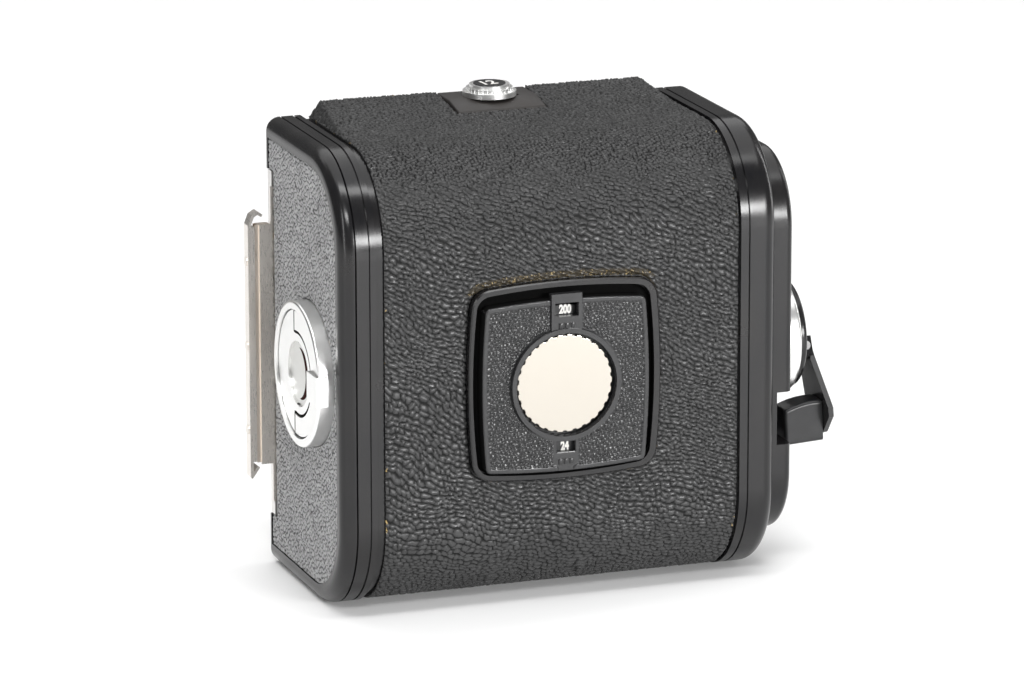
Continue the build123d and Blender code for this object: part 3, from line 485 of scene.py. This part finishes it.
def signed_distance(points, segments):
    """Distance in mm from 2-D points to a border, positive inside it."""
    result = np.empty(len(points))
    toward = np.empty((len(points), 2))
    a, b = segments[:, 0], segments[:, 1]
    d = b - a
    size = np.maximum((d * d).sum(1), 1e-12)
    for start in range(0, len(points), 8000):
        p = points[start:start + 8000]
        t = np.clip(((p[:, None] - a) * d).sum(2) / size, 0, 1)
        foot = a + t[..., None] * d
        gap = np.hypot(*np.moveaxis(p[:, None] - foot, 2, 0))
        nearest = gap.argmin(1)
        rows = np.arange(len(p))
        crosses = (a[:, 1] > p[:, None, 1]) != (b[:, 1] > p[:, None, 1])
        with np.errstate(divide="ignore", invalid="ignore"):
            x_at = a[:, 0] + (p[:, None, 1] - a[:, 1]) * d[:, 0] / d[:, 1]
        inside = (crosses & (p[:, None, 0] < x_at)).sum(1) % 2 == 1
        result[start:start + 8000] = np.where(inside, 1, -1) * gap[rows, nearest]
        toward[start:start + 8000] = foot[rows, nearest]
    return result, toward


def linked_object(name, mesh, sharp_degrees):
    """A scene object from a mesh, with even normals, smooth-shaded except over sharp edges."""
    bm = bmesh.new()
    bm.from_mesh(mesh)
    bmesh.ops.recalc_face_normals(bm, faces=bm.faces)
    bm.to_mesh(mesh)
    bm.free()
    mesh.polygons.foreach_set("use_smooth", [True] * len(mesh.polygons))
    mesh.set_sharp_from_angle(angle=math.radians(sharp_degrees))
    made = bpy.data.objects.new(name, mesh)
    bpy.context.scene.collection.objects.link(made)
    return made


def grid_skin(name, outer, inner, keep, **marks):
    """A closed skin from two layers of points, (rows, columns, 3) in mm.

    keep says which cells are used, and marks are named values per point for the finishes.
    """
    rows, cols = outer.shape[:2]
    index = np.arange(rows * cols).reshape(rows, cols)
    quad = np.stack([index[:-1, :-1], index[1:, :-1], index[1:, 1:], index[:-1, 1:]], -1)
    top = quad[keep]
    count = rows * cols
    padded = np.pad(keep, 1)
    sides = (((-1, 0), (3, 0)), ((1, 0), (1, 2)), ((0, -1), (0, 1)), ((0, 1), (2, 3)))
    walls = []
    for (di, dj), (i, j) in sides:
        other = padded[1 + di:padded.shape[0] - 1 + di, 1 + dj:padded.shape[1] - 1 + dj]
        edge = quad[keep & ~other]
        walls.append(np.stack([edge[:, i], edge[:, i] + count, edge[:, j] + count, edge[:, j]], -1))
    faces = np.concatenate([top, top[:, ::-1] + count, *walls])
    points = np.concatenate([outer.reshape(-1, 3), inner.reshape(-1, 3)]) * MM
    used = np.unique(faces)
    renumber = np.zeros(len(points), int)
    renumber[used] = np.arange(len(used))
    mesh = bpy.data.meshes.new(name)
    mesh.from_pydata(points[used].tolist(), [], renumber[faces].tolist())
    for label, values in marks.items():
        flat = np.concatenate([values.ravel(), values.ravel()])[used].astype(np.float32)
        mesh.attributes.new(label, "FLOAT", "POINT").data.foreach_set("value", flat)
    mesh.update()
    return linked_object(name, mesh, SKIN_SHARP)


def lines(stops, step):
    """Grid lines through every stop, about step apart."""
    runs = []
    for a, b in zip(stops, stops[1:]):
        runs.append(np.linspace(a, b, max(2, round((b - a) / step) + 1))[:-1])
    return np.append(np.concatenate(runs), stops[-1])


def snapped_grid(border_lines, step):
    """Grid points over the extent of a border, those near the border moved onto it.

    Gives the grid's own coordinates, the moved points, and how far inside each lies, in mm.
    """
    u = lines([border_lines[:, :, 0].min(), border_lines[:, :, 0].max()], step)
    v = lines([border_lines[:, :, 1].min(), border_lines[:, :, 1].max()], step)
    gu, gv = np.meshgrid(u, v)
    flat = np.stack([gu.ravel(), gv.ravel()], -1)
    d, foot_point = signed_distance(flat, border_lines)
    snap = np.abs(d) < step * SNAP_SHARE
    flat[snap] = foot_point[snap]
    return gu, gv, flat, np.where(snap, 0, d).reshape(gu.shape)


def cell_mean(d):
    """The mean of the values at the four corners of each cell of a grid."""
    return (d[:-1, :-1] + d[1:, 1:] + d[1:, :-1] + d[:-1, 1:]) / 4


def casing_path(rear, base, roof, front):
    """Grid lines from the front of the top, round the rear, to the front of the bottom, in mm.

    Gives the distances along the leather, where its runs end, and each line's y, z and normal.
    """
    top_run = front - (rear + BEND_R)
    arc = math.pi / 2 * BEND_R
    wall = (roof - base) - 2 * BEND_R
    ends = [top_run, top_run + arc, top_run + arc + wall, top_run + 2 * arc + wall,
            2 * top_run + 2 * arc + wall]
    s = lines([0.0, front - BED_CUT_Y, front - PLATFORM_Y, *ends], WRAP_STEP)
    y, z, ny, nz = (np.empty_like(s) for _ in range(4))
    for k, at in enumerate(s):
        if at <= ends[0]:
            y[k], z[k], ny[k], nz[k] = front - at, roof, 0, 1
        elif at <= ends[1]:
            a = (at - top_run) / BEND_R
            ny[k], nz[k] = -math.sin(a), math.cos(a)
            y[k], z[k] = rear + BEND_R + BEND_R * ny[k], roof - BEND_R + BEND_R * nz[k]
        elif at <= ends[2]:
            y[k], z[k], ny[k], nz[k] = rear, roof - BEND_R - (at - top_run - arc), -1, 0
        elif at <= ends[3]:
            a = (at - top_run - arc - wall) / BEND_R
            ny[k], nz[k] = -math.cos(a), -math.sin(a)
            y[k], z[k] = rear + BEND_R + BEND_R * ny[k], base + BEND_R + BEND_R * nz[k]
        else:
            y[k], z[k], ny[k], nz[k] = rear + BEND_R + (at - ends[3]), base, 0, -1
    return s, ends, (y, z, ny, nz)


def dial_hole(node):
    """The border of the opening for the dial in the casing's leather, as segments in mm."""
    border_lines = flat_outline(node, 1, -1)
    x = border_lines[:, :, 0]
    middle = np.array([(x.min() + x.max()) / 2, SHELL_HEIGHT / 2])
    return border_lines[np.abs(border_lines.mean(1) - middle).max(1) < DIAL_HOLE_REACH]


def wrap_skin():
    """The coarse leather, wrapped over the top, round the rear and under the bottom."""
    node = "shell_leather"
    lo, hi = (np.array(c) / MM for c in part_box(node))
    rear, base, front = lo[1], lo[2], hi[1]
    foot, rise_top = -lo[0], hi[2]
    roof = SHELL_HEIGHT - base
    s, ends, profile = casing_path(rear, base, roof, front)
    stops = [lo[0] + 0.4, -PLATFORM_HALF, -BED_CUT_X, BED_CUT_X, PLATFORM_HALF, hi[0]]
    x = lines(stops, WRAP_STEP_X)
    gx, gs = np.meshgrid(x, s)
    px = gx.copy()
    py, pz, ny, nz = (np.repeat(values[:, None], len(x), 1) for values in profile)
    n = np.stack([np.zeros_like(px), ny, nz], -1)

    # the opening for the dial, with the nearest points moved onto its border
    on_rear = (gs > ends[1]) & (gs < ends[2])
    distance = np.full(px.shape, 50.0)
    flat = np.stack([px[on_rear], pz[on_rear]], -1)
    d, foot_point = signed_distance(flat, dial_hole(node))
    distance[on_rear] = -d
    snap = np.abs(d) < WRAP_SNAP
    flat[snap] = foot_point[snap]
    px[on_rear], pz[on_rear] = flat[:, 0], flat[:, 1]
    distance[on_rear] = np.where(snap, 0, distance[on_rear])

    # the grain, rolled down along every border
    height = coarse_grain(gx, gs)
    side = np.minimum(px - x[0], x[-1] - px)
    border = np.minimum(np.minimum(side, distance), np.minimum(gs, s[-1] - gs))
    in_cut = np.maximum(np.abs(px) - BED_CUT_X, BED_CUT_Y - py)
    top_zone = gs <= ends[0]
    border = np.where(top_zone, np.minimum(border, np.abs(in_cut)), border)
    roll = EDGE_ROLL * (1 - smooth(border, 0.0, EDGE_ROLL_WIDTH))
    lift = GRAIN_LOW + GRAIN_RISE * height - roll

    # the raised platform on top, with a slope at its rear end and along its sides
    base_plane = roof - SLOPE_START
    slope = base_plane + (rise_top - base_plane) * (py - PLATFORM_Y) / (front - PLATFORM_Y)
    bevel = base_plane + (rise_top - base_plane) * (foot - np.abs(px)) / PLATFORM_SIDE_RUN
    raised = np.where(top_zone, np.maximum(0, np.minimum(slope, bevel) - roof), 0)
    outer = np.stack([px, py, pz], -1) + n * lift[..., None]
    outer[..., 2] += raised
    inner = np.stack([px, py, pz], -1) - n * LEATHER_T
    inner[..., 2] += raised
    inner[..., 0] = np.clip(inner[..., 0], *INNER_X)

    centre_x, centre_s = (gx[:-1, :-1] + gx[1:, 1:]) / 2, (gs[:-1, :-1] + gs[1:, 1:]) / 2
    under_plate = (np.abs(centre_x) < BED_CUT_X) & (centre_s < front - BED_CUT_Y)
    keep = (cell_mean(distance) > 0.0) & ~under_plate
    above = smooth(pz - GLUE_Z - 0.02 * px, 0.0, 0.5)
    beside = (1 - smooth(distance, 0.18, 0.30)) * (px > 5)
    glue = above * (1 - smooth(distance, 1.25, 1.45)) + beside
    # valley marks the grain's low parts, where the leather's finish paints shade
    made = grid_skin("casing_leather", outer, inner, keep, valley=1 - smooth(height, 0.12, 0.72),
                     rim=1 - smooth(border, 0.15, 0.5), glue=np.clip(glue, 0, 1) * on_rear)
    return made, node


def panel_skin(name, node, axis, sign):
    """A finely grained skin over the flat outer face of a node."""
    lo, hi = (np.array(c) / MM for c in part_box(node))
    level = (hi if sign > 0 else lo)[axis]
    others = [i for i in range(3) if i != axis]
    gu, gv, flat, d = snapped_grid(flat_outline(node, axis, sign), PANEL_STEP)
    height = fine_grain(gu, gv)
    lift = PANEL_LOW + PANEL_RISE * height
    lift = lift - PANEL_ROLL * (1 - smooth(d, 0.0, 0.45))
    outer, inner = np.empty((*gu.shape, 3)), np.empty((*gu.shape, 3))
    for layer, offset in ((outer, lift), (inner, -PANEL_T)):
        layer[..., others[0]] = flat[:, 0].reshape(gu.shape)
        layer[..., others[1]] = flat[:, 1].reshape(gu.shape)
        layer[..., axis] = level + sign * offset
    # valley marks the grain's low parts, where the leather's finish paints shade
    return grid_skin(name, outer, inner, cell_mean(d) > 0, valley=1 - smooth(height, 0.10, 0.75),
                     rim=1 - smooth(d, 0.1, 0.3))


# ------------------------------------------------------------------ the object

for cad_name in NODES:
    dress(NODES[cad_name], finish_of(cad_name), CLOTHED.get(cad_name))

darken_pocket()

skin, stands_for = wrap_skin()
dress(skin, "black_leatherette")
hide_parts(stands_for)
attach(skin, "root")

left_skin = panel_skin("left_cover_grain", "left_cover_leather", 0, -1)
dress(left_skin, "fine_leatherette")
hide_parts("left_cover_leather")
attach(left_skin, "film_insert")

right_skin = panel_skin("gear_cover_grain", "gear_cover_leather", 0, 1)
dress(right_skin, "fine_leatherette")
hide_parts("gear_cover_leather")
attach(right_skin, "root")

# the dial's face: cast grain inside a plain raised rim, and a black trench round it; sizes in mm

ring_low, ring_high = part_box("number_ring")
DIAL_X, DIAL_Z = (ring_low[0] + ring_high[0]) / 2 / MM, (ring_low[2] + ring_high[2]) / 2 / MM
FACE_Y = -25.6
PLATE_CENTRE = (0.0, 44.3)
FRAME_CENTRE = (0.0, 45.0)
PLATE_REACH = 14.6
TAB_HALF = 3.3
LABEL_HALF = 2.7
LABEL_TOP = 34.0
CAST_STEP = 0.13
RIM_WIDTH = 0.85
OPENING_WIDTH = 0.30
CAST_RISE = 0.22
RIM_RISE = 0.20
PLAIN_RISE = 0.05
FACE_SINK = 0.25


def dial_skin():
    """The dial's cast face, plain along its rim, round its openings and below the lower window."""
    border_lines = flat_outline("dial_face_plate", 1, -1, FACE_Y)
    mid = border_lines.mean(1)
    outermost = np.abs(mid - PLATE_CENTRE).max(1) > PLATE_REACH
    outline = border_lines[outermost & (np.abs(mid[:, 0]) > TAB_HALF)]
    gu, gv, flat, d = snapped_grid(border_lines, CAST_STEP)
    border = np.abs(signed_distance(flat, outline)[0]).reshape(gu.shape)
    height = cast_grain(gu, gv)
    plain = np.minimum(border - RIM_WIDTH, d - OPENING_WIDTH)
    label = (np.abs(flat[:, 0]) < LABEL_HALF) & (flat[:, 1] < LABEL_TOP)
    field = smooth(plain, 0.0, 0.18) * ~label.reshape(gu.shape)
    smooth_part = np.where(border < RIM_WIDTH + 0.25, RIM_RISE, PLAIN_RISE)
    lift = field * (0.01 + CAST_RISE * height) + (1 - field) * smooth_part
    lift = lift * smooth(np.minimum(d, border), 0.0, 0.12)
    across, upward = (flat[:, i].reshape(gu.shape) for i in (0, 1))
    outer = np.stack([across, FACE_Y - lift, upward], -1)
    inner = outer.copy()
    inner[..., 1] = FACE_Y + FACE_SINK
    # valley marks the cast grain's low parts, where the finish paints shade
    return grid_skin("dial_face_grain", outer, inner, cell_mean(d) > 0,
                     valley=(1 - smooth(height, 0.0, 0.6)) * field)


dial_face = dial_skin()
dress(dial_face, "pebbled_plastic")
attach(dial_face, "root")


def turned(x, z, angle):
    """A point turned about the origin."""
    return x * math.cos(angle) - z * math.sin(angle), x * math.sin(angle) + z * math.cos(angle)


def bowed_loop(half_mid, half_corner, radius, centre):
    """Points round a bowed square: half widths in the middle and near its rounded corners."""
    side_steps, corner_steps = 24, 8
    bulge = half_mid - half_corner
    reach = half_corner - radius
    corner_z = half_mid - bulge * (reach / half_corner) ** 2 - radius
    quarter = []
    for k in range(side_steps + 1):
        t = -reach + 2 * reach * k / side_steps
        quarter.append((t, -(half_mid - bulge * (t / half_corner) ** 2)))
    for k in range(1, corner_steps):
        a = math.radians(90 * k / corner_steps)
        quarter.append((reach + radius * math.sin(a), -corner_z - radius * math.cos(a)))
    points = [turned(x, z, math.radians(90 * side)) for side in range(4) for x, z in quarter]
    return [(centre[0] + x, centre[1] + z) for x, z in points]


def loops_mesh(name, loops):
    """A band of quads through several loops of 3-D points in mm, closed round on itself."""
    count = len(loops[0])
    rings = len(loops)
    faces = []
    for r in range(rings):
        onward = ((r + 1) % rings) * count
        for k in range(count):
            beside = (k + 1) % count
            faces.append((r * count + k, r * count + beside, onward + beside, onward + k))
    return loops_object(name, [p for loop in loops for p in loop], faces)


def loops_object(name, points, faces):
    """A scene object from points in mm and faces."""
    mesh = bpy.data.meshes.new(name)
    mesh.from_pydata([[c * MM for c in p] for p in points], [], faces)
    return linked_object(name, mesh, PIECE_SHARP)


def at_y(loop, y):
    """A loop of (x, z) points, placed at depth y."""
    return [(x, y, z) for x, z in loop]


CAP_R = 9.72
CAP_NOTCHES = 30
NOTCH_SHARE = 0.50
NOTCH_DEPTH = 0.26
CAP_BEVEL = 0.14


def knurled_cap():
    """The dial's polished cap: a disc with short notches round its edge."""
    low, high = (Vector(corner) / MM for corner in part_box("dial_cap"))
    front, back = low.y, high.y
    per_notch = 12
    steps = CAP_NOTCHES * per_notch
    share = np.arange(steps) / per_notch % 1
    notched = NOTCH_DEPTH * smooth(0.5 * NOTCH_SHARE - np.abs(share - 0.5), 0.0, 0.10)
    angle = np.arange(steps) * 2 * math.pi / steps
    levels = ((back, 0.0), (front + CAP_BEVEL, 0.0), (front + 0.3 * CAP_BEVEL, 0.3 * CAP_BEVEL),
              (front, CAP_BEVEL), (front, CAP_BEVEL + 0.05))
    rings = [(y, CAP_R - notched - inset) for y, inset in levels]
    plain_rings = ((front, 7.0), (front, 3.0), (front, 0.01), (back, 0.01), (back, 5.0))
    rings += [(y, np.full(steps, r)) for y, r in plain_rings]
    return loops_mesh("dial_cap_knurled", [
        [(DIAL_X + r * math.cos(a), y, DIAL_Z + r * math.sin(a)) for r, a in zip(ring, angle)]
        for y, ring in rings])


cap = knurled_cap()
dress(cap, finish_of("dial_cap"))
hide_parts("dial_cap")
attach(cap, "film_speed")

# the trench's painted shade: a black liner of thin walls against the face plate and the bezel, and
# a floor between them

plate_loop = bowed_loop(17.02, 16.22, 1.1, PLATE_CENTRE)
plate_wall = bowed_loop(17.06, 16.26, 1.1, PLATE_CENTRE)
frame_loop = bowed_loop(18.48, 17.38, 3.0, FRAME_CENTRE)
frame_wall = bowed_loop(18.44, 17.34, 3.0, FRAME_CENTRE)
TRENCH_BACK, TRENCH_FLOOR = -22.86, -22.98
trench_section = ((plate_loop, TRENCH_BACK), (plate_loop, -25.52), (plate_wall, -25.50),
                  (plate_wall, TRENCH_FLOOR), (frame_wall, TRENCH_FLOOR), (frame_wall, -24.10),
                  (frame_loop, -24.12), (frame_loop, TRENCH_BACK))
liner = loops_mesh("dial_trench_shade", [at_y(loop, y) for loop, y in trench_section])
liner.data.materials.append(FINISH["painted_trench_shade"])
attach(liner, "root")

# painted shade: a black strip for the dark line where the folded key handle meets the disc,
# straight at the hinge, then round

HANDLE_INNER_R = 8.3
HANDLE_OUTER_R = 12.1
HINGE_OFFSET = 2.1
SEAM_WIDTH = 0.42
SEAM_PROUD, SEAM_SUNK = 0.03, 0.06


def key_seam():
    """The seam's (y, z) points, z from the disc's middle, and the disc's face and middle, in mm."""
    low, high = (Vector(corner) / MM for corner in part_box("key_disc"))
    y0, z0 = (low.y + high.y) / 2, (low.z + high.z) / 2
    hinge = y0 + HINGE_OFFSET
    reach = math.acos((y0 - hinge) / HANDLE_INNER_R)
    arc_steps, bend_z = 48, 9.5
    path = [(hinge, HANDLE_OUTER_R), (hinge, bend_z)]
    for k in range(arc_steps + 1):
        a = -reach + 2 * reach * k / arc_steps
        path.append((y0 - HANDLE_INNER_R * math.cos(a), -HANDLE_INNER_R * math.sin(a)))
    path += [(hinge, -bend_z), (hinge, -HANDLE_OUTER_R)]
    return path, low.x, z0


def ribbon(name, path, width, x_top, x_foot, z0):
    """A thin strip beside a path of (y, z) points, on its left."""
    points = np.array(path)
    along = np.gradient(points, axis=0)
    along /= np.hypot(*along.T)[:, None]
    side = points + width * np.stack([-along[:, 1], along[:, 0]], -1)
    rows = [np.stack([np.full(len(p), x), p[:, 0], p[:, 1] + z0], -1)
            for p, x in ((points, x_top), (side, x_top), (side, x_foot), (points, x_foot))]
    count = len(points)
    starts = [(r * count, (r + 1) % 4 * count) for r in range(4)]
    faces = [(a + k, a + k + 1, b + k + 1, b + k) for a, b in starts for k in range(count - 1)]
    faces += [(0, count, 2 * count, 3 * count), tuple(r * count + count - 1 for r in (3, 2, 1, 0))]
    return loops_object(name, np.concatenate(rows).tolist(), faces)


seam_path, disc_face, seam_z = key_seam()
seam = ribbon("key_seam_shade", seam_path, SEAM_WIDTH, disc_face - SEAM_PROUD,
              disc_face + SEAM_SUNK, seam_z)
seam.data.materials.append(FINISH["painted_gap_shade"])
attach(seam, "film_key")

# the plate under the release button, with the slot that the button's stem moves in

SLOT_X = (-2.0, 5.5)
SLOT_Y = (16.0, 20.0)
PLATE_T = 1.9
PLATE_DIP = 1.15


def sloped_plate():
    """The button's plate: its rear end dips to meet the leather, and its edges are eased."""
    low, high = (Vector(corner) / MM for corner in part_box("button_plate"))
    eased, soft = 0.35, 0.12
    xs = np.array([low.x, low.x + soft, low.x + eased, *SLOT_X,
                   high.x - eased, high.x - soft, high.x])
    ys = np.array([low.y, low.y + soft, low.y + eased, *SLOT_Y, high.y])
    edge_x = np.array([eased, 0.10, 0, 0, 0, 0, 0.10, eased])
    edge_y = np.array([eased, 0.10, 0, 0, 0, 0])
    fall = np.clip((SLOT_Y[0] - ys) / (SLOT_Y[0] - low.y), 0, 1) * PLATE_DIP
    gx, gy = np.meshgrid(xs, ys)
    top = high.z - np.maximum(edge_x[None, :], edge_y[:, None]) - fall[:, None]
    outer = np.stack([gx, gy, top], -1)
    inner = np.stack([gx, gy, np.full_like(top, high.z - PLATE_T)], -1)
    keep = np.ones((len(ys) - 1, len(xs) - 1), bool)
    slot_cell = (3, 3)
    keep[slot_cell] = False
    return grid_skin("button_plate_sloped", outer, inner, keep)


bed = sloped_plate()
dress(bed, finish_of("button_plate"), "plate_black")
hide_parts("button_plate")
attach(bed, "root")

# numbers, the only lettering on the object

FIGURE_DEPTH = 0.03


def number(name, text, height, place, facing, up, body, squeeze, bold):
    """Raised white figures, height mm tall, centred on place; facing and up are unit directions."""
    curve = bpy.data.curves.new(name, "FONT")
    curve.body = text
    curve.align_x, curve.align_y = "CENTER", "CENTER"
    curve.extrude = FIGURE_DEPTH
    curve.offset = bold
    curve.size = 1.0
    temporary = bpy.data.objects.new(name + "_curve", curve)
    bpy.context.scene.collection.objects.link(temporary)
    bpy.context.view_layer.update()
    mesh = bpy.data.meshes.new_from_object(temporary)
    bpy.data.objects.remove(temporary)
    co = np.array([v.co for v in mesh.vertices])
    tall = np.ptp(co[:, 1])
    co -= (co.max(0) + co.min(0)) / 2
    co[:, :2] *= height / tall
    co[:, 0] *= squeeze
    f, u = Vector(facing), Vector(up)
    right = u.cross(f)
    placed = np.outer(co[:, 0], right) + np.outer(co[:, 1], u) + np.outer(co[:, 2], f)
    mesh.vertices.foreach_set("co", ((placed + np.array(place)) * MM).astype(np.float32).ravel())
    mesh.update()
    mesh.name = name
    made = bpy.data.objects.new(name, mesh)
    bpy.context.scene.collection.objects.link(made)
    if len(mesh.materials) == 0:
        mesh.materials.append(FINISH["label_white"])
    for i in range(len(mesh.materials)):
        mesh.materials[i] = FINISH["label_white"]
    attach(made, body)
    return made


# a film speed in each system at every 30 degrees, the two figures leaning apart

FAST = ("25", "50", "100", "200", "400", "800", "1600")
SLOW = ("15", "18", "21", "24", "27", "30", "33")
FIGURES_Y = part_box("number_ring")[0][1] / MM - 0.02
for k, (fast, slow) in enumerate(zip(FAST, SLOW)):
    for system, text, radius, lean in (("fast", fast, 14.45, 1.6), ("slow", slow, -12.6, -1.6)):
        turn = math.radians(30 * (k - 3) + lean)
        up = (math.sin(turn), 0, math.cos(turn))
        place = (DIAL_X + radius * up[0], FIGURES_Y, DIAL_Z + radius * up[2])
        number(system + "_" + text, text, 1.85, place, (0, -1, 0), up, "film_speed",
               squeeze=0.70, bold=0.055)


BAR_SHARE = 0.34
BAR_LEVELS = ((0.25, 0.0), (-0.26, 0.0), (-0.34, 0.10))
CORNERS = ((-1, -1), (1, -1), (1, 1), (-1, 1))


def relief_bars(name, centre_z, count, width, height, face_y):
    """A row of small raised bars in place of lettering."""
    points, faces = [], []
    pitch = width / count
    for k in range(count):
        x = (k - (count - 1) / 2) * pitch
        base = len(points)
        for level, shrink in BAR_LEVELS:
            w, h, y = pitch * BAR_SHARE - shrink, height / 2 - shrink, face_y + level
            points += [(x + i * w, y, centre_z + j * h) for i, j in CORNERS]
        faces.append(tuple(base + i for i in (3, 2, 1, 0)))
        faces.append(tuple(base + i for i in (8, 9, 10, 11)))
        for ring in (0, 4):
            for i in range(4):
                a, b = base + ring + i, base + ring + (i + 1) % 4
                faces.append((a, b, b + 4, a + 4))
    made = loops_object(name, points, faces)
    dress(made, "pebbled_plastic")
    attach(made, "root")


relief_bars("upper_relief", 56.2, count=3, width=3.6, height=1.1, face_y=-26.1)
relief_bars("lower_relief", 29.2, count=3, width=3.4, height=1.1, face_y=-25.6)

label_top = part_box("button_label")[1][2] / MM
number("button_figures", "12", 3.3, (-0.15, 18.0, label_top), (0, 0, 1), (-0.10, 0.995, 0),
       "release_catch", squeeze=0.8, bold=0.022)

# ------------------------------------------------------------------ stage, light and camera

MIDDLE = (0.0, 0.0, 0.045)


def softbox(name, place, target, width, height, power):
    """A rectangular lamp, sizes in metres, that faces its target."""
    data = bpy.data.lights.new(name, "AREA")
    data.shape = "RECTANGLE"
    data.size, data.size_y = width, height
    data.energy = power
    lamp = bpy.data.objects.new(name, data)
    lamp.location = place
    lamp.rotation_mode = "QUATERNION"
    lamp.rotation_quaternion = (Vector(target) - Vector(place)).to_track_quat("-Z", "Y")
    bpy.context.scene.collection.objects.link(lamp)


FLOOR_HALF = 3.0
floor_mesh = bpy.data.meshes.new("floor")
floor_corners = [(i * FLOOR_HALF, j * FLOOR_HALF, 0) for i, j in CORNERS]
floor_mesh.from_pydata(floor_corners, [], [(0, 1, 2, 3)])
floor = bpy.data.objects.new("floor", floor_mesh)
bpy.context.scene.collection.objects.link(floor)
ground = Paint("pale_floor", Roughness=0.55, Emission_Strength=0.06)
ground.shader.inputs["Emission Color"].default_value = (1, 1, 1, 1)
fleck = ground.span(ground.noise(400.0), 0.3, 0.7)
ground.colour(ground.blend(fleck, (0.93, 0.93, 0.93), (0.95, 0.95, 0.95)))
floor_mesh.materials.append(ground.mat)

# the camera sees the world's full white, and the object is lit by only a little of it

SKY_LIGHT = 0.15
world = bpy.data.worlds.new("studio")
world.use_nodes = True
sky = world.node_tree.nodes["Background"]
sky.inputs["Color"].default_value = (1.0, 0.997, 0.99, 1)
path = world.node_tree.nodes.new("ShaderNodeLightPath")
level = world.node_tree.nodes.new("ShaderNodeMapRange")
level.inputs["To Min"].default_value = SKY_LIGHT
level.inputs["To Max"].default_value = 1.0
world.node_tree.links.new(path.outputs["Is Camera Ray"], level.inputs["Value"])
world.node_tree.links.new(level.outputs["Result"], sky.inputs["Strength"])
bpy.context.scene.world = world
bpy.context.scene.view_settings.view_transform = "Standard"
bpy.context.scene.view_settings.look = "None"

LAMPS = (
    ("ceiling", (0.0, 0.45, 1.70), (0.0, 0.45, 0.0), 2.2, 2.2, 20.0),
    ("backdrop", (0.0, 1.10, 0.95), (0.0, 0.80, 0.0), 2.0, 0.5, 4.0),
    ("top_card", (-0.05, -0.36, 1.25), MIDDLE, 1.10, 0.22, 6.0),
    ("key", (-0.30, -0.66, 0.62), MIDDLE, 0.34, 0.16, 2.5),
    ("front_card", (0.38, -0.92, 0.23), MIDDLE, 0.42, 0.17, 7.5),
    ("left_bank", (-0.60, -0.34, 0.24), MIDDLE, 0.06, 0.50, 0.8),
    ("right_strip", (0.60, 0.10, 0.25), MIDDLE, 0.06, 0.60, 0.9),
)
for lamp_row in LAMPS:
    softbox(*lamp_row)

# the camera, as fitted to the photo's outline

CAMERA_TARGET = Vector((-0.01012, -0.0232, 0.05318))
CAMERA_DISTANCE = 1.1256
FOCAL_LENGTH = 207.3
azimuth, elevation, roll = (math.radians(angle) for angle in (-19.71, 14.43, -0.08))
back = Vector((math.sin(azimuth) * math.cos(elevation), -math.cos(azimuth) * math.cos(elevation),
               math.sin(elevation)))
eye = bpy.data.cameras.new("camera")
eye.lens, eye.sensor_width = FOCAL_LENGTH, 36.0
eye.clip_start, eye.clip_end = 0.05, 20.0
camera = bpy.data.objects.new("camera", eye)
camera.location = CAMERA_TARGET + back * CAMERA_DISTANCE
camera.rotation_mode = "QUATERNION"
rolled = Matrix.Rotation(roll, 3, "Z").to_quaternion()
camera.rotation_quaternion = (-back).to_track_quat("-Z", "Y") @ rolled
bpy.context.scene.collection.objects.link(camera)
bpy.context.scene.camera = camera
